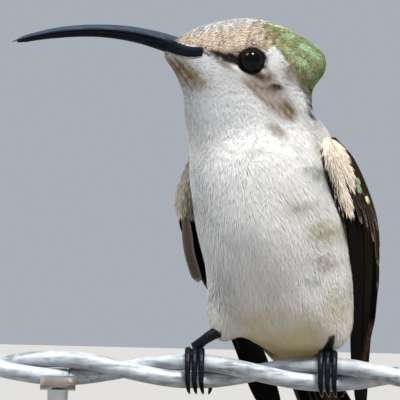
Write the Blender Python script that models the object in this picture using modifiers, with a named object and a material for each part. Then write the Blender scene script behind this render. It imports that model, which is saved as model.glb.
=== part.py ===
"""A female sheartail hummingbird, life size, perched on a cut length of twisted fence wire on a plain stand.

Lengths below are in millimetres, and each mesh is scaled to metres as it is made. +Z is up. The origin is
on the floor at the middle of the stand's base. The wire runs along X, and the bird faces -Y, turned to -X.
"""

import math
from collections import namedtuple

import bmesh
import bpy
import numpy as np

MM = 0.001
GAP = 0.3
THIN_GAP = 0.12

# The stand and the perch.
BASE_SIZE = (76.0, 52.0, 6.0)
BASE_BEVEL = 0.8
PERCH_HEIGHT = 36.0
PERCH_LENGTH = 68.0
STRAND_RADIUS = 1.08
STRAND_OFFSET = STRAND_RADIUS + THIN_GAP / 2
HALF_TWIST = 16.6
STRAND_STEPS = 38
WIRE_RADIUS = STRAND_OFFSET + STRAND_RADIUS
ROD_RADIUS = 1.3
ROD_SIDES = 20
SHARP_ANGLE = math.radians(35)
ROD_PLACES = {"left": -1.5 * HALF_TWIST, "right": 1.5 * HALF_TWIST}

# The bird's own directions. The body is turned towards -X and leans forward. The head is nearly in profile.
BODY_TURN = math.radians(30)
BODY_LEAN = math.radians(19)
HEAD_TURN = math.radians(8)
UP = np.array((0.0, 0.0, 1.0))
LEFT = np.array((math.cos(BODY_TURN), -math.sin(BODY_TURN), 0.0))
BACK = np.array((math.sin(BODY_TURN), math.cos(BODY_TURN), 0.0))
SPINE_UP = math.cos(BODY_LEAN) * UP - math.sin(BODY_LEAN) * BACK
BODY_AXES = np.array((LEFT, np.cross(SPINE_UP, LEFT), SPINE_UP))
BILL_WAY = np.array((-math.cos(HEAD_TURN), -math.sin(HEAD_TURN), 0.0))
HEAD_LEFT = np.array((math.sin(HEAD_TURN), -math.cos(HEAD_TURN), 0.0))
HEAD_AXES = np.array((HEAD_LEFT, BILL_WAY, UP))
CHIN_SLANT = math.radians(30)
CHIN_UP = math.cos(CHIN_SLANT) * UP + math.sin(CHIN_SLANT) * BILL_WAY
CHIN_AXES = np.array((HEAD_LEFT, np.cross(CHIN_UP, HEAD_LEFT), CHIN_UP))

# The plumage's outer form, as ellipsoids that melt into each other: centre, then the half sizes along the
# bird's left, its front and its length. The head's own are along its left, its bill and upwards.
Blob = namedtuple("Blob", "centre radii axes")
BLEND = 0.9
BLOBS = {
    "trunk": Blob((0.5, -0.3, 55.5), (8.7, 8.6, 12.0), BODY_AXES),
    "breast": Blob((-0.9, -2.6, 61.5), (8.2, 6.6, 7.6), BODY_AXES),
    "belly": Blob((2.9, 2.2, 47.4), (8.4, 7.0, 8.6), BODY_AXES),
    "left flank": Blob((6.9, 0.2, 46.6), (3.7, 4.2, 7.4), BODY_AXES),
    "left side": Blob((6.2, -0.6, 53.6), (4.0, 4.0, 6.4), BODY_AXES),
    "right flank": Blob((-2.5, 2.0, 46.6), (3.3, 3.8, 4.6), BODY_AXES),
    "vent": Blob((4.6, 6.4, 41.6), (5.0, 3.6, 5.4), BODY_AXES),
    "shoulders": Blob((0.2, 0.6, 63.0), (7.8, 6.4, 5.6), BODY_AXES),
    "mantle": Blob((3.2, 2.2, 64.2), (5.6, 4.4, 4.2), BODY_AXES),
    "neck": Blob((-1.4, -2.2, 69.0), (5.6, 7.2, 6.0), HEAD_AXES),
    "throat": Blob((-5.2, -3.0, 68.4), (4.4, 4.4, 5.6), HEAD_AXES),
    "skull": Blob((-2.2, -2.6, 74.3), (5.3, 7.6, 5.8), HEAD_AXES),
    "crest": Blob((3.4, -1.9, 74.7), (4.4, 4.2, 2.9), HEAD_AXES),
    "forehead": Blob((-7.0, -3.35, 76.3), (2.5, 4.7, 2.1), HEAD_AXES),
    "chin": Blob((-7.7, -3.4, 73.4), (2.6, 2.6, 3.7), CHIN_AXES),
    "chin tip": Blob((-9.9, -3.7, 75.7), (1.5, 2.2, 1.2), HEAD_AXES),
}

# The line through the body's middle, from vent to face. Above the hinge's height the rings fan about it.
SPINE = ((4.4, 5.4, 41.0), (2.4, 2.6, 47.5), (0.5, -0.3, 55.5), (-0.9, -1.8, 63.5), (-1.6, -2.3, 69.0),
         (-4.0, -2.9, 73.6), (-8.2, -3.5, 75.6))
HINGE = np.array((-13.8, -4.0, 63.0))
SPINE_STEPS = 200
BODY_SIDES = 26
BODY_RINGS = 27
CAP_RINGS = 4
LEAST_RING_STEP = 0.012
BODY_REACH = 24.0
HALVINGS = 26
NECK_STARTS = 0.60
NECK_ENDS = 0.72

# The bill is two arcs that meet at its crown, the highest point. Its root is inside the face.
BILL_CROWN = np.array((-20.8, -5.1, 78.15))
BILL_BEND_RADII = {"root": 28.0, "tip": 34.5}
BILL_ROOT = 11.6
BILL_TIP = -10.7
BILL_STATIONS = 18
BILL_HALF_HEIGHTS = ((0.0, 1.15), (0.15, 1.08), (0.3, 0.94), (0.5, 0.77), (0.75, 0.64), (0.93, 0.42),
                     (1.0, 0.16))
BILL_WIDTH_TO_HEIGHT = 1.15
BILL_HALF_SIDES = 9
LOWER_BILL_SHARE = 0.97

EYE_RADIUS = 1.75
EYE_AHEAD = 0.15
EYE_ASIDE = 4.0
EYE_ABOVE = 0.55
EYE_SEGMENTS = 18
EYE_RINGS = 10

# Folded wings: height, front edge, rear edge and distance out from the spine's line, then thickness.
WINGS = {
    "left": ((65.6, 3.4, 5.6, 8.3, 0.9), (62.5, 2.0, 8.4, 9.1, 1.6), (56.0, 2.7, 10.4, 9.8, 1.7),
             (50.0, 2.9, 10.6, 9.4, 1.5), (44.0, 3.0, 10.1, 8.4, 1.3), (38.0, 4.2, 9.9, 6.9, 1.1),
             (33.0, 6.2, 10.0, 5.6, 0.9), (30.5, 7.6, 9.6, 5.0, 0.7)),
    "right": ((63.6, -0.4, 1.8, 8.6, 0.9), (60.5, -2.4, 4.2, 9.4, 1.5), (56.5, -4.4, 5.0, 10.0, 1.5),
              (51.5, -4.6, 5.4, 9.9, 1.4), (47.6, -3.2, 5.8, 9.4, 1.3), (44.5, -1.4, 6.6, 8.8, 1.2),
              (39.5, -0.6, 8.0, 7.6, 1.1), (33.5, -0.8, 7.6, 5.8, 0.9), (30.0, 1.6, 5.8, 5.0, 0.7)),
}
WING_STEPS = 400
WING_CUT_STEPS = 3
COVERTS_END = 168
COVERTS_STATIONS = 8
FLIGHT_STATIONS = 11
WING_SIDES = 14
WING_FLATNESS = 0.7

TAIL_ROOT = np.array((3.6, 7.6, 43.0))
TAIL_WAY = np.array((0.37, 0.60, -0.71))
TAIL_LENGTH = 25.0
TAIL_HALF_WIDTHS = ((0.0, 3.0), (0.35, 5.0), (0.8, 6.6), (0.95, 6.1), (1.0, 5.0))
TAIL_THICKNESS = (2.2, 0.8)
TAIL_STATIONS = 12

# Legs: the thigh's two ends and the ankle, where the foot's middle is along the wire, and how far the hind
# toe drifts along it.
Leg = namedtuple("Leg", "thigh_root thigh_end ankle foot hallux_drift")
LEGS = {
    "left": Leg((8.2, 1.0, 45.5), (10.1, 1.0, 40.3), (9.1, -1.2, 41.0), 8.7, 2.2),
    "right": Leg((-2.8, 1.4, 45.5), (-4.9, 0.0, 41.2), (-5.6, -0.4, 40.7), -7.9, 2.2),
}
THIGH_RADII = (3.0, 3.0, 2.4, 1.0)
TARSUS_RADII = (0.66, 0.58, 0.52, 0.64)
TOE_RADII = (0.40, 0.36, 0.34, 0.32, 0.30)
CLAW_RADII = (0.28, 0.25, 0.20, 0.13)
TOE_STATIONS = 8
CLAW_STATIONS = 6
LIMB_STATIONS = 6
TOE_ROOT_SPACING = 0.82
TOE_SPACING = 0.86
SOLE_BEHIND = 0.15
SOLE_ABOVE_WIRE = 0.72
SHANK_BOW = np.array((0.0, -0.25, 0.1))
CLAW_DRIFT = 0.35
CLAW_HOOK = np.array((0.0, -0.1, 0.0))
CLAW_DROP = np.array((0.0, 0.0, -0.15))
# Angles round the wire, from its top towards -Y.
TOE_SPAN = (24.0, 112.0)
CLAW_SPAN = (120.0, 172.0)
CLEAR_OF_WIRE = 0.44
GRIP_HALF_WIDTH = WIRE_RADIUS - 0.25


def clear_scene():
    for obj in list(bpy.data.objects):
        bpy.data.objects.remove(obj, do_unlink=True)


def collection_named(name):
    made = bpy.data.collections.new(name)
    bpy.context.scene.collection.children.link(made)
    return made


def material(name, colour, roughness, metallic=0.0):
    made = bpy.data.materials.new(name)
    made.use_nodes = True
    shader = made.node_tree.nodes["Principled BSDF"]
    shader.inputs["Base Color"].default_value = (*colour, 1.0)
    shader.inputs["Roughness"].default_value = roughness
    shader.inputs["Metallic"].default_value = metallic
    return made


def unit(vector):
    return vector / np.linalg.norm(vector)


def smooth_rows(rows, count):
    """Rows of numbers read at even steps from a smooth curve through the given rows (Catmull-Rom)."""
    rows = np.array(rows, float)
    padded = np.vstack((2 * rows[0] - rows[1], rows, 2 * rows[-1] - rows[-2]))
    lengths = np.linalg.norm(np.diff(rows, axis=0), axis=1)
    knots = np.concatenate(([0.0], np.cumsum(lengths)))
    read = np.interp(np.linspace(0, knots[-1], count), knots, np.arange(len(rows)))
    spans = np.minimum(read.astype(int), len(rows) - 2)
    t = (read - spans)[:, None]
    a, b, c, d = (padded[spans + k] for k in range(4))
    return 0.5 * (2 * b + (c - a) * t + (2 * a - 5 * b + 4 * c - d) * t**2 + (3 * b - a - 3 * c + d) * t**3)


def read_table(table, at):
    return np.interp(at, *np.array(table).T)


def body_distance(points):
    """About how far each point is outside the melted ellipsoids, and less than zero inside them."""
    total = 0.0
    for blob in BLOBS.values():
        local = (points - np.array(blob.centre)) @ blob.axes.T
        radii = np.array(blob.radii)
        scaled = np.linalg.norm(local / radii, axis=-1)
        steepness = np.linalg.norm(local / radii**2, axis=-1) + 1e-9
        total = total + np.exp(-scaled * (scaled - 1) / steepness / BLEND)
    return -BLEND * np.log(total)


def on_body(origins, ways, outside):
    """Where rays from inside the body are this far outside its form."""
    near = np.zeros(ways.shape[:-1])
    far = near + BODY_REACH
    for _ in range(HALVINGS):
        middle = (near + far) / 2
        inside = body_distance(origins + ways * middle[..., None]) < outside
        near = np.where(inside, middle, near)
        far = np.where(inside, far, middle)
    return origins + ways * near[..., None]


def spine_frame(place):
    """A point of the spine and its ring's two directions: away from the hinge, and to the head's left."""
    centre = smooth_rows(SPINE, SPINE_STEPS + 1)[round(place * SPINE_STEPS)]
    away = centre - HINGE
    away -= HEAD_LEFT * (away @ HEAD_LEFT)
    if centre[2] < HINGE[2]:
        away[2] = 0.0
    return centre, unit(away), HEAD_LEFT


def body_ring(place, tilt, outside):
    """A ring of the body's surface. A tilt of 1 or -1 turns its rays fully forwards or backwards."""
    centre, away, aside = spine_frame(place)
    onward = np.cross(aside, away)
    turn = np.linspace(0, 2 * math.pi, BODY_SIDES, endpoint=False)[:, None]
    ways = (np.cos(turn) * away + np.sin(turn) * aside) * math.cos(tilt * math.pi / 2)
    return on_body(centre, ways + onward * math.sin(tilt * math.pi / 2), outside)


def body_rings(first, last, outside):
    """The rings from one place on the spine to another, which round off at the body's own two ends."""
    places = np.linspace(0, 1, BODY_RINGS)
    inner = places[(places > first + LEAST_RING_STEP) & (places < last - LEAST_RING_STEP)]
    rings = [body_ring(place, 0, outside) for place in (first, *inner, last)]
    tilts = np.arange(1, CAP_RINGS) / CAP_RINGS
    if first == 0:
        rings = [body_ring(0, -tilt, outside) for tilt in tilts[::-1]] + rings
    if last == 1:
        rings += [body_ring(1, tilt, outside) for tilt in tilts]
    return rings


def body_poles(first, last, outside):
    start = body_ring(0, -1, outside)[0] if first == 0 else spine_frame(first)[0]
    end = body_ring(1, 1, outside)[0] if last == 1 else spine_frame(last)[0]
    return start, end


def loft(name, rings, poles, look, place):
    """One closed solid through rings of points, closed at each end by a fan to a pole."""
    made = bmesh.new()
    rows = [[made.verts.new(point * MM) for point in ring] for ring in rings]
    ends = [made.verts.new(point * MM) for point in poles]
    for ring, onward in zip(rows, rows[1:]):
        for k, corner in enumerate(ring):
            made.faces.new((ring[k - 1], corner, onward[k], onward[k - 1]))
    for ring, pole in ((rows[0], ends[0]), (rows[-1], ends[1])):
        for k, corner in enumerate(ring):
            made.faces.new((ring[k - 1], corner, pole))
    bmesh.ops.recalc_face_normals(made, faces=made.faces)
    mesh = bpy.data.meshes.new(name)
    made.to_mesh(mesh)
    made.free()
    mesh.shade_smooth()
    return add_object(name, mesh, look, place)


def add_object(name, data, look, place):
    obj = bpy.data.objects.new(name, data)
    data.materials.append(look)
    place.objects.link(obj)
    return obj


def as_cutter(obj):
    obj.hide_render = True
    obj.display_type = "WIRE"
    return obj


def cut(obj, cutter):
    modifier = obj.modifiers.new("cut by " + cutter.name, "BOOLEAN")
    modifier.operation = "DIFFERENCE"
    modifier.solver = "EXACT"
    modifier.object = cutter


def body_solid(name, first, last, look, place, outside=0.0):
    return loft(name, body_rings(first, last, outside), body_poles(first, last, outside), look, place)


def bill_rings(upper, margin=0.0):
    """Half-oval rings along the bill's arc, of its upper or its lower mandible."""
    rings = []
    for share in np.linspace(0, 1 if upper else LOWER_BILL_SHARE, BILL_STATIONS):
        along = BILL_ROOT + (BILL_TIP - BILL_ROOT) * share
        bend = BILL_BEND_RADII["root" if along > 0 else "tip"]
        slope = along / bend
        middle = BILL_CROWN - BILL_WAY * along
        middle = middle - UP * along**2 / (2 * bend)
        rise = unit(UP - BILL_WAY * slope)
        half = read_table(BILL_HALF_HEIGHTS, share)
        turn = np.linspace(0, math.pi, BILL_HALF_SIDES)[:, None] + (0 if upper else math.pi)
        middle = middle + rise * (THIN_GAP / 2 if upper else -THIN_GAP / 2)
        width = half * BILL_WIDTH_TO_HEIGHT + margin
        ring = middle + HEAD_LEFT * np.cos(turn) * width + rise * np.sin(turn) * (half + margin)
        rings.append(ring)
    return rings


def add_bill(look, place):
    for name, upper in (("bill_upper", True), ("bill_lower", False)):
        rings = bill_rings(upper)
        poles = [(ring[0] + ring[-1] + 2 * ring[BILL_HALF_SIDES // 2]) / 4 for ring in (rings[0], rings[-1])]
        loft(name, rings, poles, look, place)


def bill_cutter(look, place):
    """The bill's whole outline, wider by the gap all round, for the socket in the face."""
    rings = [np.vstack((top[:-1], bottom[:-1])) for top, bottom in
             zip(bill_rings(True, GAP / 2), bill_rings(False, GAP / 2))]
    start = rings[0].mean(axis=0) - BILL_WAY * GAP
    return as_cutter(loft("bill_cutter", rings, (start, rings[-1].mean(axis=0)), look, place))


def eye_centre(side):
    sign = 1 if side == "left" else -1
    skull = np.array(BLOBS["skull"].centre)
    return skull + HEAD_LEFT * EYE_ASIDE * sign + BILL_WAY * EYE_AHEAD + UP * EYE_ABOVE


def add_ball(name, centre, radius, look, place):
    made = bmesh.new()
    bmesh.ops.create_uvsphere(made, u_segments=EYE_SEGMENTS, v_segments=EYE_RINGS, radius=radius * MM)
    mesh = bpy.data.meshes.new(name)
    made.to_mesh(mesh)
    made.free()
    mesh.shade_smooth()
    obj = add_object(name, mesh, look, place)
    obj.location = centre * MM
    return obj


def wing_ring(row, side):
    """A flat oval round a folded wing at one height, between its front edge and its rear edge."""
    height, front, rear, out, thickness = row
    sign = 1 if side == "left" else -1
    spine = np.array(BLOBS["trunk"].centre)
    line = spine - SPINE_UP * (spine[2] - height) / SPINE_UP[2]
    turn = np.linspace(0, 2 * math.pi, WING_SIDES, endpoint=False)[:, None]
    along = (front + rear) / 2 - (rear - front) / 2 * np.cos(turn)
    flat = np.abs(np.sin(turn)) ** WING_FLATNESS * np.sign(np.sin(turn))
    return line + BACK * along + LEFT * sign * (out + thickness / 2 * flat)


def add_wing(side, looks, place, trunk_cutter):
    rows = smooth_rows(WINGS[side], WING_STEPS + 1)
    parts = {"coverts": (0, COVERTS_END, COVERTS_STATIONS),
             "flight": (COVERTS_END + WING_CUT_STEPS, WING_STEPS, FLIGHT_STATIONS)}
    for part, (first, last, count) in parts.items():
        rings = [wing_ring(rows[k], side) for k in np.linspace(first, last, count).astype(int)]
        poles = (rings[0].mean(axis=0), rings[-1].mean(axis=0))
        cut(loft("wing_%s_%s" % (side, part), rings, poles, looks[part], place), trunk_cutter)


def add_tail(look, place, trunk_cutter):
    """A flat blade of folded feathers, wider towards its rounded end."""
    onward = unit(TAIL_WAY)
    thick_way = unit(np.cross(onward, LEFT))
    rings = []
    for share in np.linspace(0, 1, TAIL_STATIONS):
        turn = np.linspace(0, 2 * math.pi, WING_SIDES, endpoint=False)[:, None]
        half = read_table(TAIL_HALF_WIDTHS, share)
        thickness = np.interp(share, (0, 1), TAIL_THICKNESS)
        middle = TAIL_ROOT + onward * TAIL_LENGTH * share
        rings.append(middle + LEFT * np.cos(turn) * half + thick_way * np.sin(turn) * thickness / 2)
    poles = (rings[0].mean(axis=0), rings[-1].mean(axis=0))
    cut(loft("tail", rings, poles, look, place), trunk_cutter)


def tube(name, points, radii, look, place):
    """A round limb through the points, with a radius at each."""
    curve = bpy.data.curves.new(name, "CURVE")
    curve.dimensions = "3D"
    curve.bevel_depth = MM
    curve.bevel_resolution = 2
    curve.use_fill_caps = True
    spline = curve.splines.new("POLY")
    spline.points.add(len(points) - 1)
    for knot, point, radius in zip(spline.points, points, radii):
        knot.co = (*(np.array(point) * MM), 1.0)
        knot.radius = radius
    return add_object(name, curve, look, place)


def spread(values, count):
    return np.interp(np.linspace(0, 1, count), np.linspace(0, 1, len(values)), values)


def meshed(obj):
    """The curve's own mesh with welded caps, in its place, so that it can be cut."""
    bpy.context.view_layer.update()
    mesh = bpy.data.meshes.new_from_object(obj.evaluated_get(bpy.context.evaluated_depsgraph_get()))
    welded = bmesh.new()
    welded.from_mesh(mesh)
    bmesh.ops.remove_doubles(welded, verts=welded.verts, dist=1e-6)
    welded.to_mesh(mesh)
    welded.free()
    made = bpy.data.objects.new("meshed", mesh)
    made.matrix_world = obj.matrix_world
    for place in obj.users_collection:
        place.objects.link(made)
    name = obj.name
    bpy.data.objects.remove(obj, do_unlink=True)
    made.name = name
    return made


def around_wire(degrees, along):
    """A point beside the wire at an angle round it, from its top towards -Y."""
    angle = math.radians(degrees)
    return (along, -(GRIP_HALF_WIDTH + CLEAR_OF_WIRE) * math.sin(angle),
            PERCH_HEIGHT + (WIRE_RADIUS + CLEAR_OF_WIRE) * math.cos(angle))


def add_toe(name, way, start, end, look, claw_look, place):
    """A toe round the wire from one place along it to another, then its claw. Way is 1 in front."""
    span = np.linspace(*TOE_SPAN, TOE_STATIONS)
    along = start + (end - start) * np.sin(np.linspace(0, math.pi / 2, TOE_STATIONS))
    points = [around_wire(way * angle, x) for angle, x in zip(span, along)]
    tube("toe_" + name, points, spread(TOE_RADII, TOE_STATIONS), look, place)
    bend = np.linspace(0, 1, CLAW_STATIONS)
    hook = [np.array(around_wire(way * angle, end + CLAW_DRIFT * way * t)) for angle, t in
            zip(np.linspace(*CLAW_SPAN, CLAW_STATIONS), bend)]
    hook = [point + (CLAW_HOOK * way + CLAW_DROP) * t for point, t in zip(hook, bend)]
    tube("claw_" + name, hook, spread(CLAW_RADII, CLAW_STATIONS), claw_look, place)


def add_leg(side, looks, place, trunk_cutter):
    leg = LEGS[side]
    thigh = smooth_rows((leg.thigh_root, leg.thigh_end), LIMB_STATIONS)
    radii = spread(THIGH_RADII, LIMB_STATIONS)
    cut(meshed(tube("thigh_" + side, thigh, radii, looks["thigh"], place)), trunk_cutter)
    sole = np.array((leg.foot, SOLE_BEHIND, PERCH_HEIGHT + WIRE_RADIUS + SOLE_ABOVE_WIRE))
    middle = (np.array(leg.ankle) + sole) / 2 + SHANK_BOW
    shank = smooth_rows((leg.ankle, middle, sole), LIMB_STATIONS)
    radii = spread(TARSUS_RADII, LIMB_STATIONS)
    cut(meshed(tube("tarsus_" + side, shank, radii, looks["skin"], place)), trunk_cutter)
    for k in (1, 2, 3):
        start = leg.foot + (k - 2) * TOE_ROOT_SPACING
        end = leg.foot + (k - 2) * TOE_SPACING
        add_toe("%s_%d" % (side, k), 1, start, end, looks["skin"], looks["claw"], place)
    add_toe(side + "_4", -1, leg.foot, leg.foot + leg.hallux_drift, looks["skin"], looks["claw"], place)


def strand_points(phase):
    along = np.linspace(-PERCH_LENGTH / 2, PERCH_LENGTH / 2, STRAND_STEPS)
    turn = math.pi * along / HALF_TWIST + phase
    return np.column_stack((along, STRAND_OFFSET * np.cos(turn),
                            PERCH_HEIGHT + STRAND_OFFSET * np.sin(turn)))


def add_perch(look, place):
    for name, phase in (("perch_strand_a", 0.0), ("perch_strand_b", math.pi)):
        tube(name, strand_points(phase), [STRAND_RADIUS] * STRAND_STEPS, look, place)


def add_box(name, size, middle_height, look, place):
    made = bmesh.new()
    bmesh.ops.create_cube(made, size=1.0)
    bmesh.ops.scale(made, vec=[length * MM for length in size], verts=made.verts)
    mesh = bpy.data.meshes.new(name)
    made.to_mesh(mesh)
    made.free()
    box = add_object(name, mesh, look, place)
    box.location = (0, 0, middle_height * MM)
    bevel = box.modifiers.new("rounded edges", "BEVEL")
    bevel.width = BASE_BEVEL * MM
    bevel.segments = 2
    return box


def add_rod(name, along, radius, bottom, top, look, place):
    made = bmesh.new()
    bmesh.ops.create_cone(made, cap_ends=True, segments=ROD_SIDES, radius1=radius * MM,
                          radius2=radius * MM, depth=(top - bottom) * MM)
    mesh = bpy.data.meshes.new(name)
    made.to_mesh(mesh)
    made.free()
    mesh.shade_smooth()
    mesh.set_sharp_from_angle(angle=SHARP_ANGLE)
    rod = add_object(name, mesh, look, place)
    rod.location = (along * MM, 0, (bottom + top) / 2 * MM)
    return rod


def add_stand(looks, place, cutters):
    """A wooden base and two rods, each coped to the wire's round where a strand is lowest."""
    add_box("stand_base", BASE_SIZE, BASE_SIZE[2] / 2, looks["wood"], place)
    saddle = add_rod("wire_cutter", 0, WIRE_RADIUS + THIN_GAP, -PERCH_LENGTH / 2 - 2,
                     PERCH_LENGTH / 2 + 2, looks["rod"], cutters)
    saddle.rotation_euler = (0, math.pi / 2, 0)
    saddle.location = (0, 0, PERCH_HEIGHT * MM)
    as_cutter(saddle)
    for side, along in ROD_PLACES.items():
        rod = add_rod("stand_rod_" + side, along, ROD_RADIUS, BASE_SIZE[2] + GAP / 3,
                      PERCH_HEIGHT - STRAND_RADIUS, looks["rod"], place)
        cut(rod, saddle)


def add_body(looks, place, cutters):
    half = GAP / 2 / sum(np.linalg.norm(np.diff(np.array(SPINE), axis=0), axis=1))
    body_solid("trunk", 0, NECK_STARTS - half, looks["breast"], place)
    body_solid("neck", NECK_STARTS + half, NECK_ENDS - half, looks["breast"], place)
    head = body_solid("head", NECK_ENDS + half, 1, looks["crown"], place)
    cut(head, bill_cutter(looks["bill"], cutters))
    for side in ("left", "right"):
        centre = eye_centre(side)
        add_ball("eye_" + side, centre, EYE_RADIUS, looks["eye"], place)
        socket = add_ball("socket_cutter_" + side, centre, EYE_RADIUS + THIN_GAP, looks["eye"], cutters)
        cut(head, as_cutter(socket))
    return as_cutter(body_solid("trunk_cutter", 0, 1, looks["breast"], cutters, outside=GAP))


def main():
    clear_scene()
    place = collection_named("hummingbird")
    cutters = collection_named("cutters")
    looks = {
        "breast": material("breast plumage", (0.72, 0.70, 0.67), 0.9),
        "crown": material("crown plumage", (0.30, 0.24, 0.15), 0.8),
        "thigh": material("thigh plumage", (0.75, 0.72, 0.68), 0.9),
        "coverts": material("covert plumage", (0.16, 0.13, 0.10), 0.8),
        "flight": material("flight plumage", (0.02, 0.02, 0.02), 0.6),
        "bill": material("bill horn", (0.02, 0.03, 0.05), 0.35),
        "eye": material("eye", (0.005, 0.005, 0.005), 0.05),
        "skin": material("leg skin", (0.02, 0.02, 0.025), 0.45),
        "claw": material("claw horn", (0.02, 0.02, 0.02), 0.3),
        "wire": material("galvanised wire", (0.62, 0.65, 0.68), 0.45, 0.7),
        "wood": material("stand wood", (0.05, 0.03, 0.02), 0.5),
        "rod": material("stand steel", (0.35, 0.35, 0.36), 0.35, 1.0),
    }
    trunk_cutter = add_body(looks, place, cutters)
    add_bill(looks["bill"], place)
    for side in ("left", "right"):
        add_wing(side, looks, place, trunk_cutter)
        add_leg(side, looks, place, trunk_cutter)
    add_tail(looks["flight"], place, trunk_cutter)
    add_perch(looks["wire"], place)
    add_stand(looks, place, cutters)


main()
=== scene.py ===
"""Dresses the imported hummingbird: skin, barbs and vanes, bill, eyes and feet, the wire and the stand.

Lengths are in millimetres until a mesh is made, apart from the settings, which Blender keeps in metres. The
bird's form is the same set of melted ellipsoids as in the solids, so every feather can be laid at a height over
it.
"""

import math
from collections import namedtuple
from functools import partial

import bpy
import numpy as np
from mathutils import Matrix, Vector


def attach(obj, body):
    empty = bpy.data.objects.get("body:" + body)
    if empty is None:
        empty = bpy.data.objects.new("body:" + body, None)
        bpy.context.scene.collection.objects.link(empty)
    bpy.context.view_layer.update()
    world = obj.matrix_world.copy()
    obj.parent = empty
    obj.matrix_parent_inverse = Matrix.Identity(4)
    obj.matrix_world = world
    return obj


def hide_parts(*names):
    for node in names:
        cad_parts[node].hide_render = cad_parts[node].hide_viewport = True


bl_info = {
    "name": "Perched hummingbird",
    "version": (1, 0, 0),
    "blender": (4, 5, 0),
    "location": "View3D > Sidebar > Hummingbird",
    "description": "Plumage, bill, eyes, feet, perch and stand of a life-size hummingbird",
    "category": "Add Mesh",
}

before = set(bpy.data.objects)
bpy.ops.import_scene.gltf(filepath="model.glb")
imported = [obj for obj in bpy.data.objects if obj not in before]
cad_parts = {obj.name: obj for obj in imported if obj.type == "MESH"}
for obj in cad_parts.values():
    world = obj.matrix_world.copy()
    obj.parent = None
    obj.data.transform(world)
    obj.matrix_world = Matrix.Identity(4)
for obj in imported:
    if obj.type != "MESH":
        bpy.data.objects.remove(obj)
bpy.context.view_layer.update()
MM = 0.001

# The bird's own directions, as in the solids.
BODY_TURN = math.radians(30)
BODY_LEAN = math.radians(19)
HEAD_TURN = math.radians(8)
UP = np.array((0.0, 0.0, 1.0))
LEFT = np.array((math.cos(BODY_TURN), -math.sin(BODY_TURN), 0.0))
BACK = np.array((math.sin(BODY_TURN), math.cos(BODY_TURN), 0.0))
SPINE_UP = math.cos(BODY_LEAN) * UP - math.sin(BODY_LEAN) * BACK
BODY_AXES = np.array((LEFT, np.cross(SPINE_UP, LEFT), SPINE_UP))
BILL_WAY = np.array((-math.cos(HEAD_TURN), -math.sin(HEAD_TURN), 0.0))
HEAD_LEFT = np.array((math.sin(HEAD_TURN), -math.cos(HEAD_TURN), 0.0))
HEAD_AXES = np.array((HEAD_LEFT, BILL_WAY, UP))
CHIN_SLANT = math.radians(30)
CHIN_UP = math.cos(CHIN_SLANT) * UP + math.sin(CHIN_SLANT) * BILL_WAY
CHIN_AXES = np.array((HEAD_LEFT, np.cross(CHIN_UP, HEAD_LEFT), CHIN_UP))

# The plumage's outer form: centre, half sizes and axes of ellipsoids that melt into each other.
Blob = namedtuple("Blob", "centre radii axes")
BLEND = 0.9
BLOBS = {
    "trunk": Blob((0.5, -0.3, 55.5), (8.7, 8.6, 12.0), BODY_AXES),
    "breast": Blob((-0.9, -2.6, 61.5), (8.2, 6.6, 7.6), BODY_AXES),
    "belly": Blob((2.9, 2.2, 47.4), (8.4, 7.0, 8.6), BODY_AXES),
    "left flank": Blob((6.9, 0.2, 46.6), (3.7, 4.2, 7.4), BODY_AXES),
    "left side": Blob((6.2, -0.6, 53.6), (4.0, 4.0, 6.4), BODY_AXES),
    "right flank": Blob((-2.5, 2.0, 46.6), (3.3, 3.8, 4.6), BODY_AXES),
    "vent": Blob((4.6, 6.4, 41.6), (5.0, 3.6, 5.4), BODY_AXES),
    "shoulders": Blob((0.2, 0.6, 63.0), (7.8, 6.4, 5.6), BODY_AXES),
    "mantle": Blob((3.2, 2.2, 64.2), (5.6, 4.4, 4.2), BODY_AXES),
    "left thigh": Blob((9.3, 0.4, 42.4), (1.9, 2.2, 3.0), BODY_AXES),
    "right thigh": Blob((-4.5, 0.5, 42.7), (1.75, 2.1, 3.0), BODY_AXES),
    "neck": Blob((-1.4, -2.2, 69.0), (5.6, 7.2, 6.0), HEAD_AXES),
    "throat": Blob((-5.2, -3.0, 68.4), (4.4, 4.4, 5.6), HEAD_AXES),
    "skull": Blob((-2.2, -2.6, 74.3), (5.3, 7.6, 5.8), HEAD_AXES),
    "crest": Blob((3.4, -1.9, 74.7), (4.4, 4.2, 2.9), HEAD_AXES),
    "forehead": Blob((-7.0, -3.35, 76.3), (2.5, 4.7, 2.1), HEAD_AXES),
    "chin": Blob((-7.7, -3.4, 73.4), (2.6, 2.6, 3.7), CHIN_AXES),
    "chin tip": Blob((-9.9, -3.7, 75.7), (1.5, 2.2, 1.2), HEAD_AXES),
}
SPINE = ((4.4, 5.4, 41.0), (2.4, 2.6, 47.5), (0.5, -0.3, 55.5), (-0.9, -1.8, 63.5), (-1.6, -2.3, 69.0),
         (-4.0, -2.9, 73.6), (-8.2, -3.5, 75.6))
SPINE_STEPS = 400
HINGE = np.array((-13.8, -4.0, 63.0))
BODY_REACH = 24.0
HALVINGS = 24

# The skin's grid: places run from -1 at the vent's end, through 0 to 1 along the spine, to 2 at the bill.
SKIN_RINGS = 190
SKIN_SIDES = 150
PLACE_FIRST = -1.0
PLACE_SPAN = 3.0
COAT_DEPTHS = ((-1.0, 0.55), (0.2, 0.6), (0.6, 0.5), (0.72, 0.38), (0.9, 0.28), (1.2, 0.2), (2.0, 0.16))
TUFT_PATCH = 0.003

SIDES = {"left": 1, "right": -1}
EYE_RADIUS = 1.75
EYE_AHEAD = 0.15
EYE_ASIDE = 4.0
EYE_ABOVE = 0.55
LID_OPENING = 1.62
LID_SINE = 0.89
LID_SEAT = 0.975
LID_THICKNESS = 0.075
LID_WIDTH = 0.19
CORNEA_BULGE = 0.035
SOCKET_DEPTH = 0.5
SOCKET_REACH = 1.95

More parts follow.
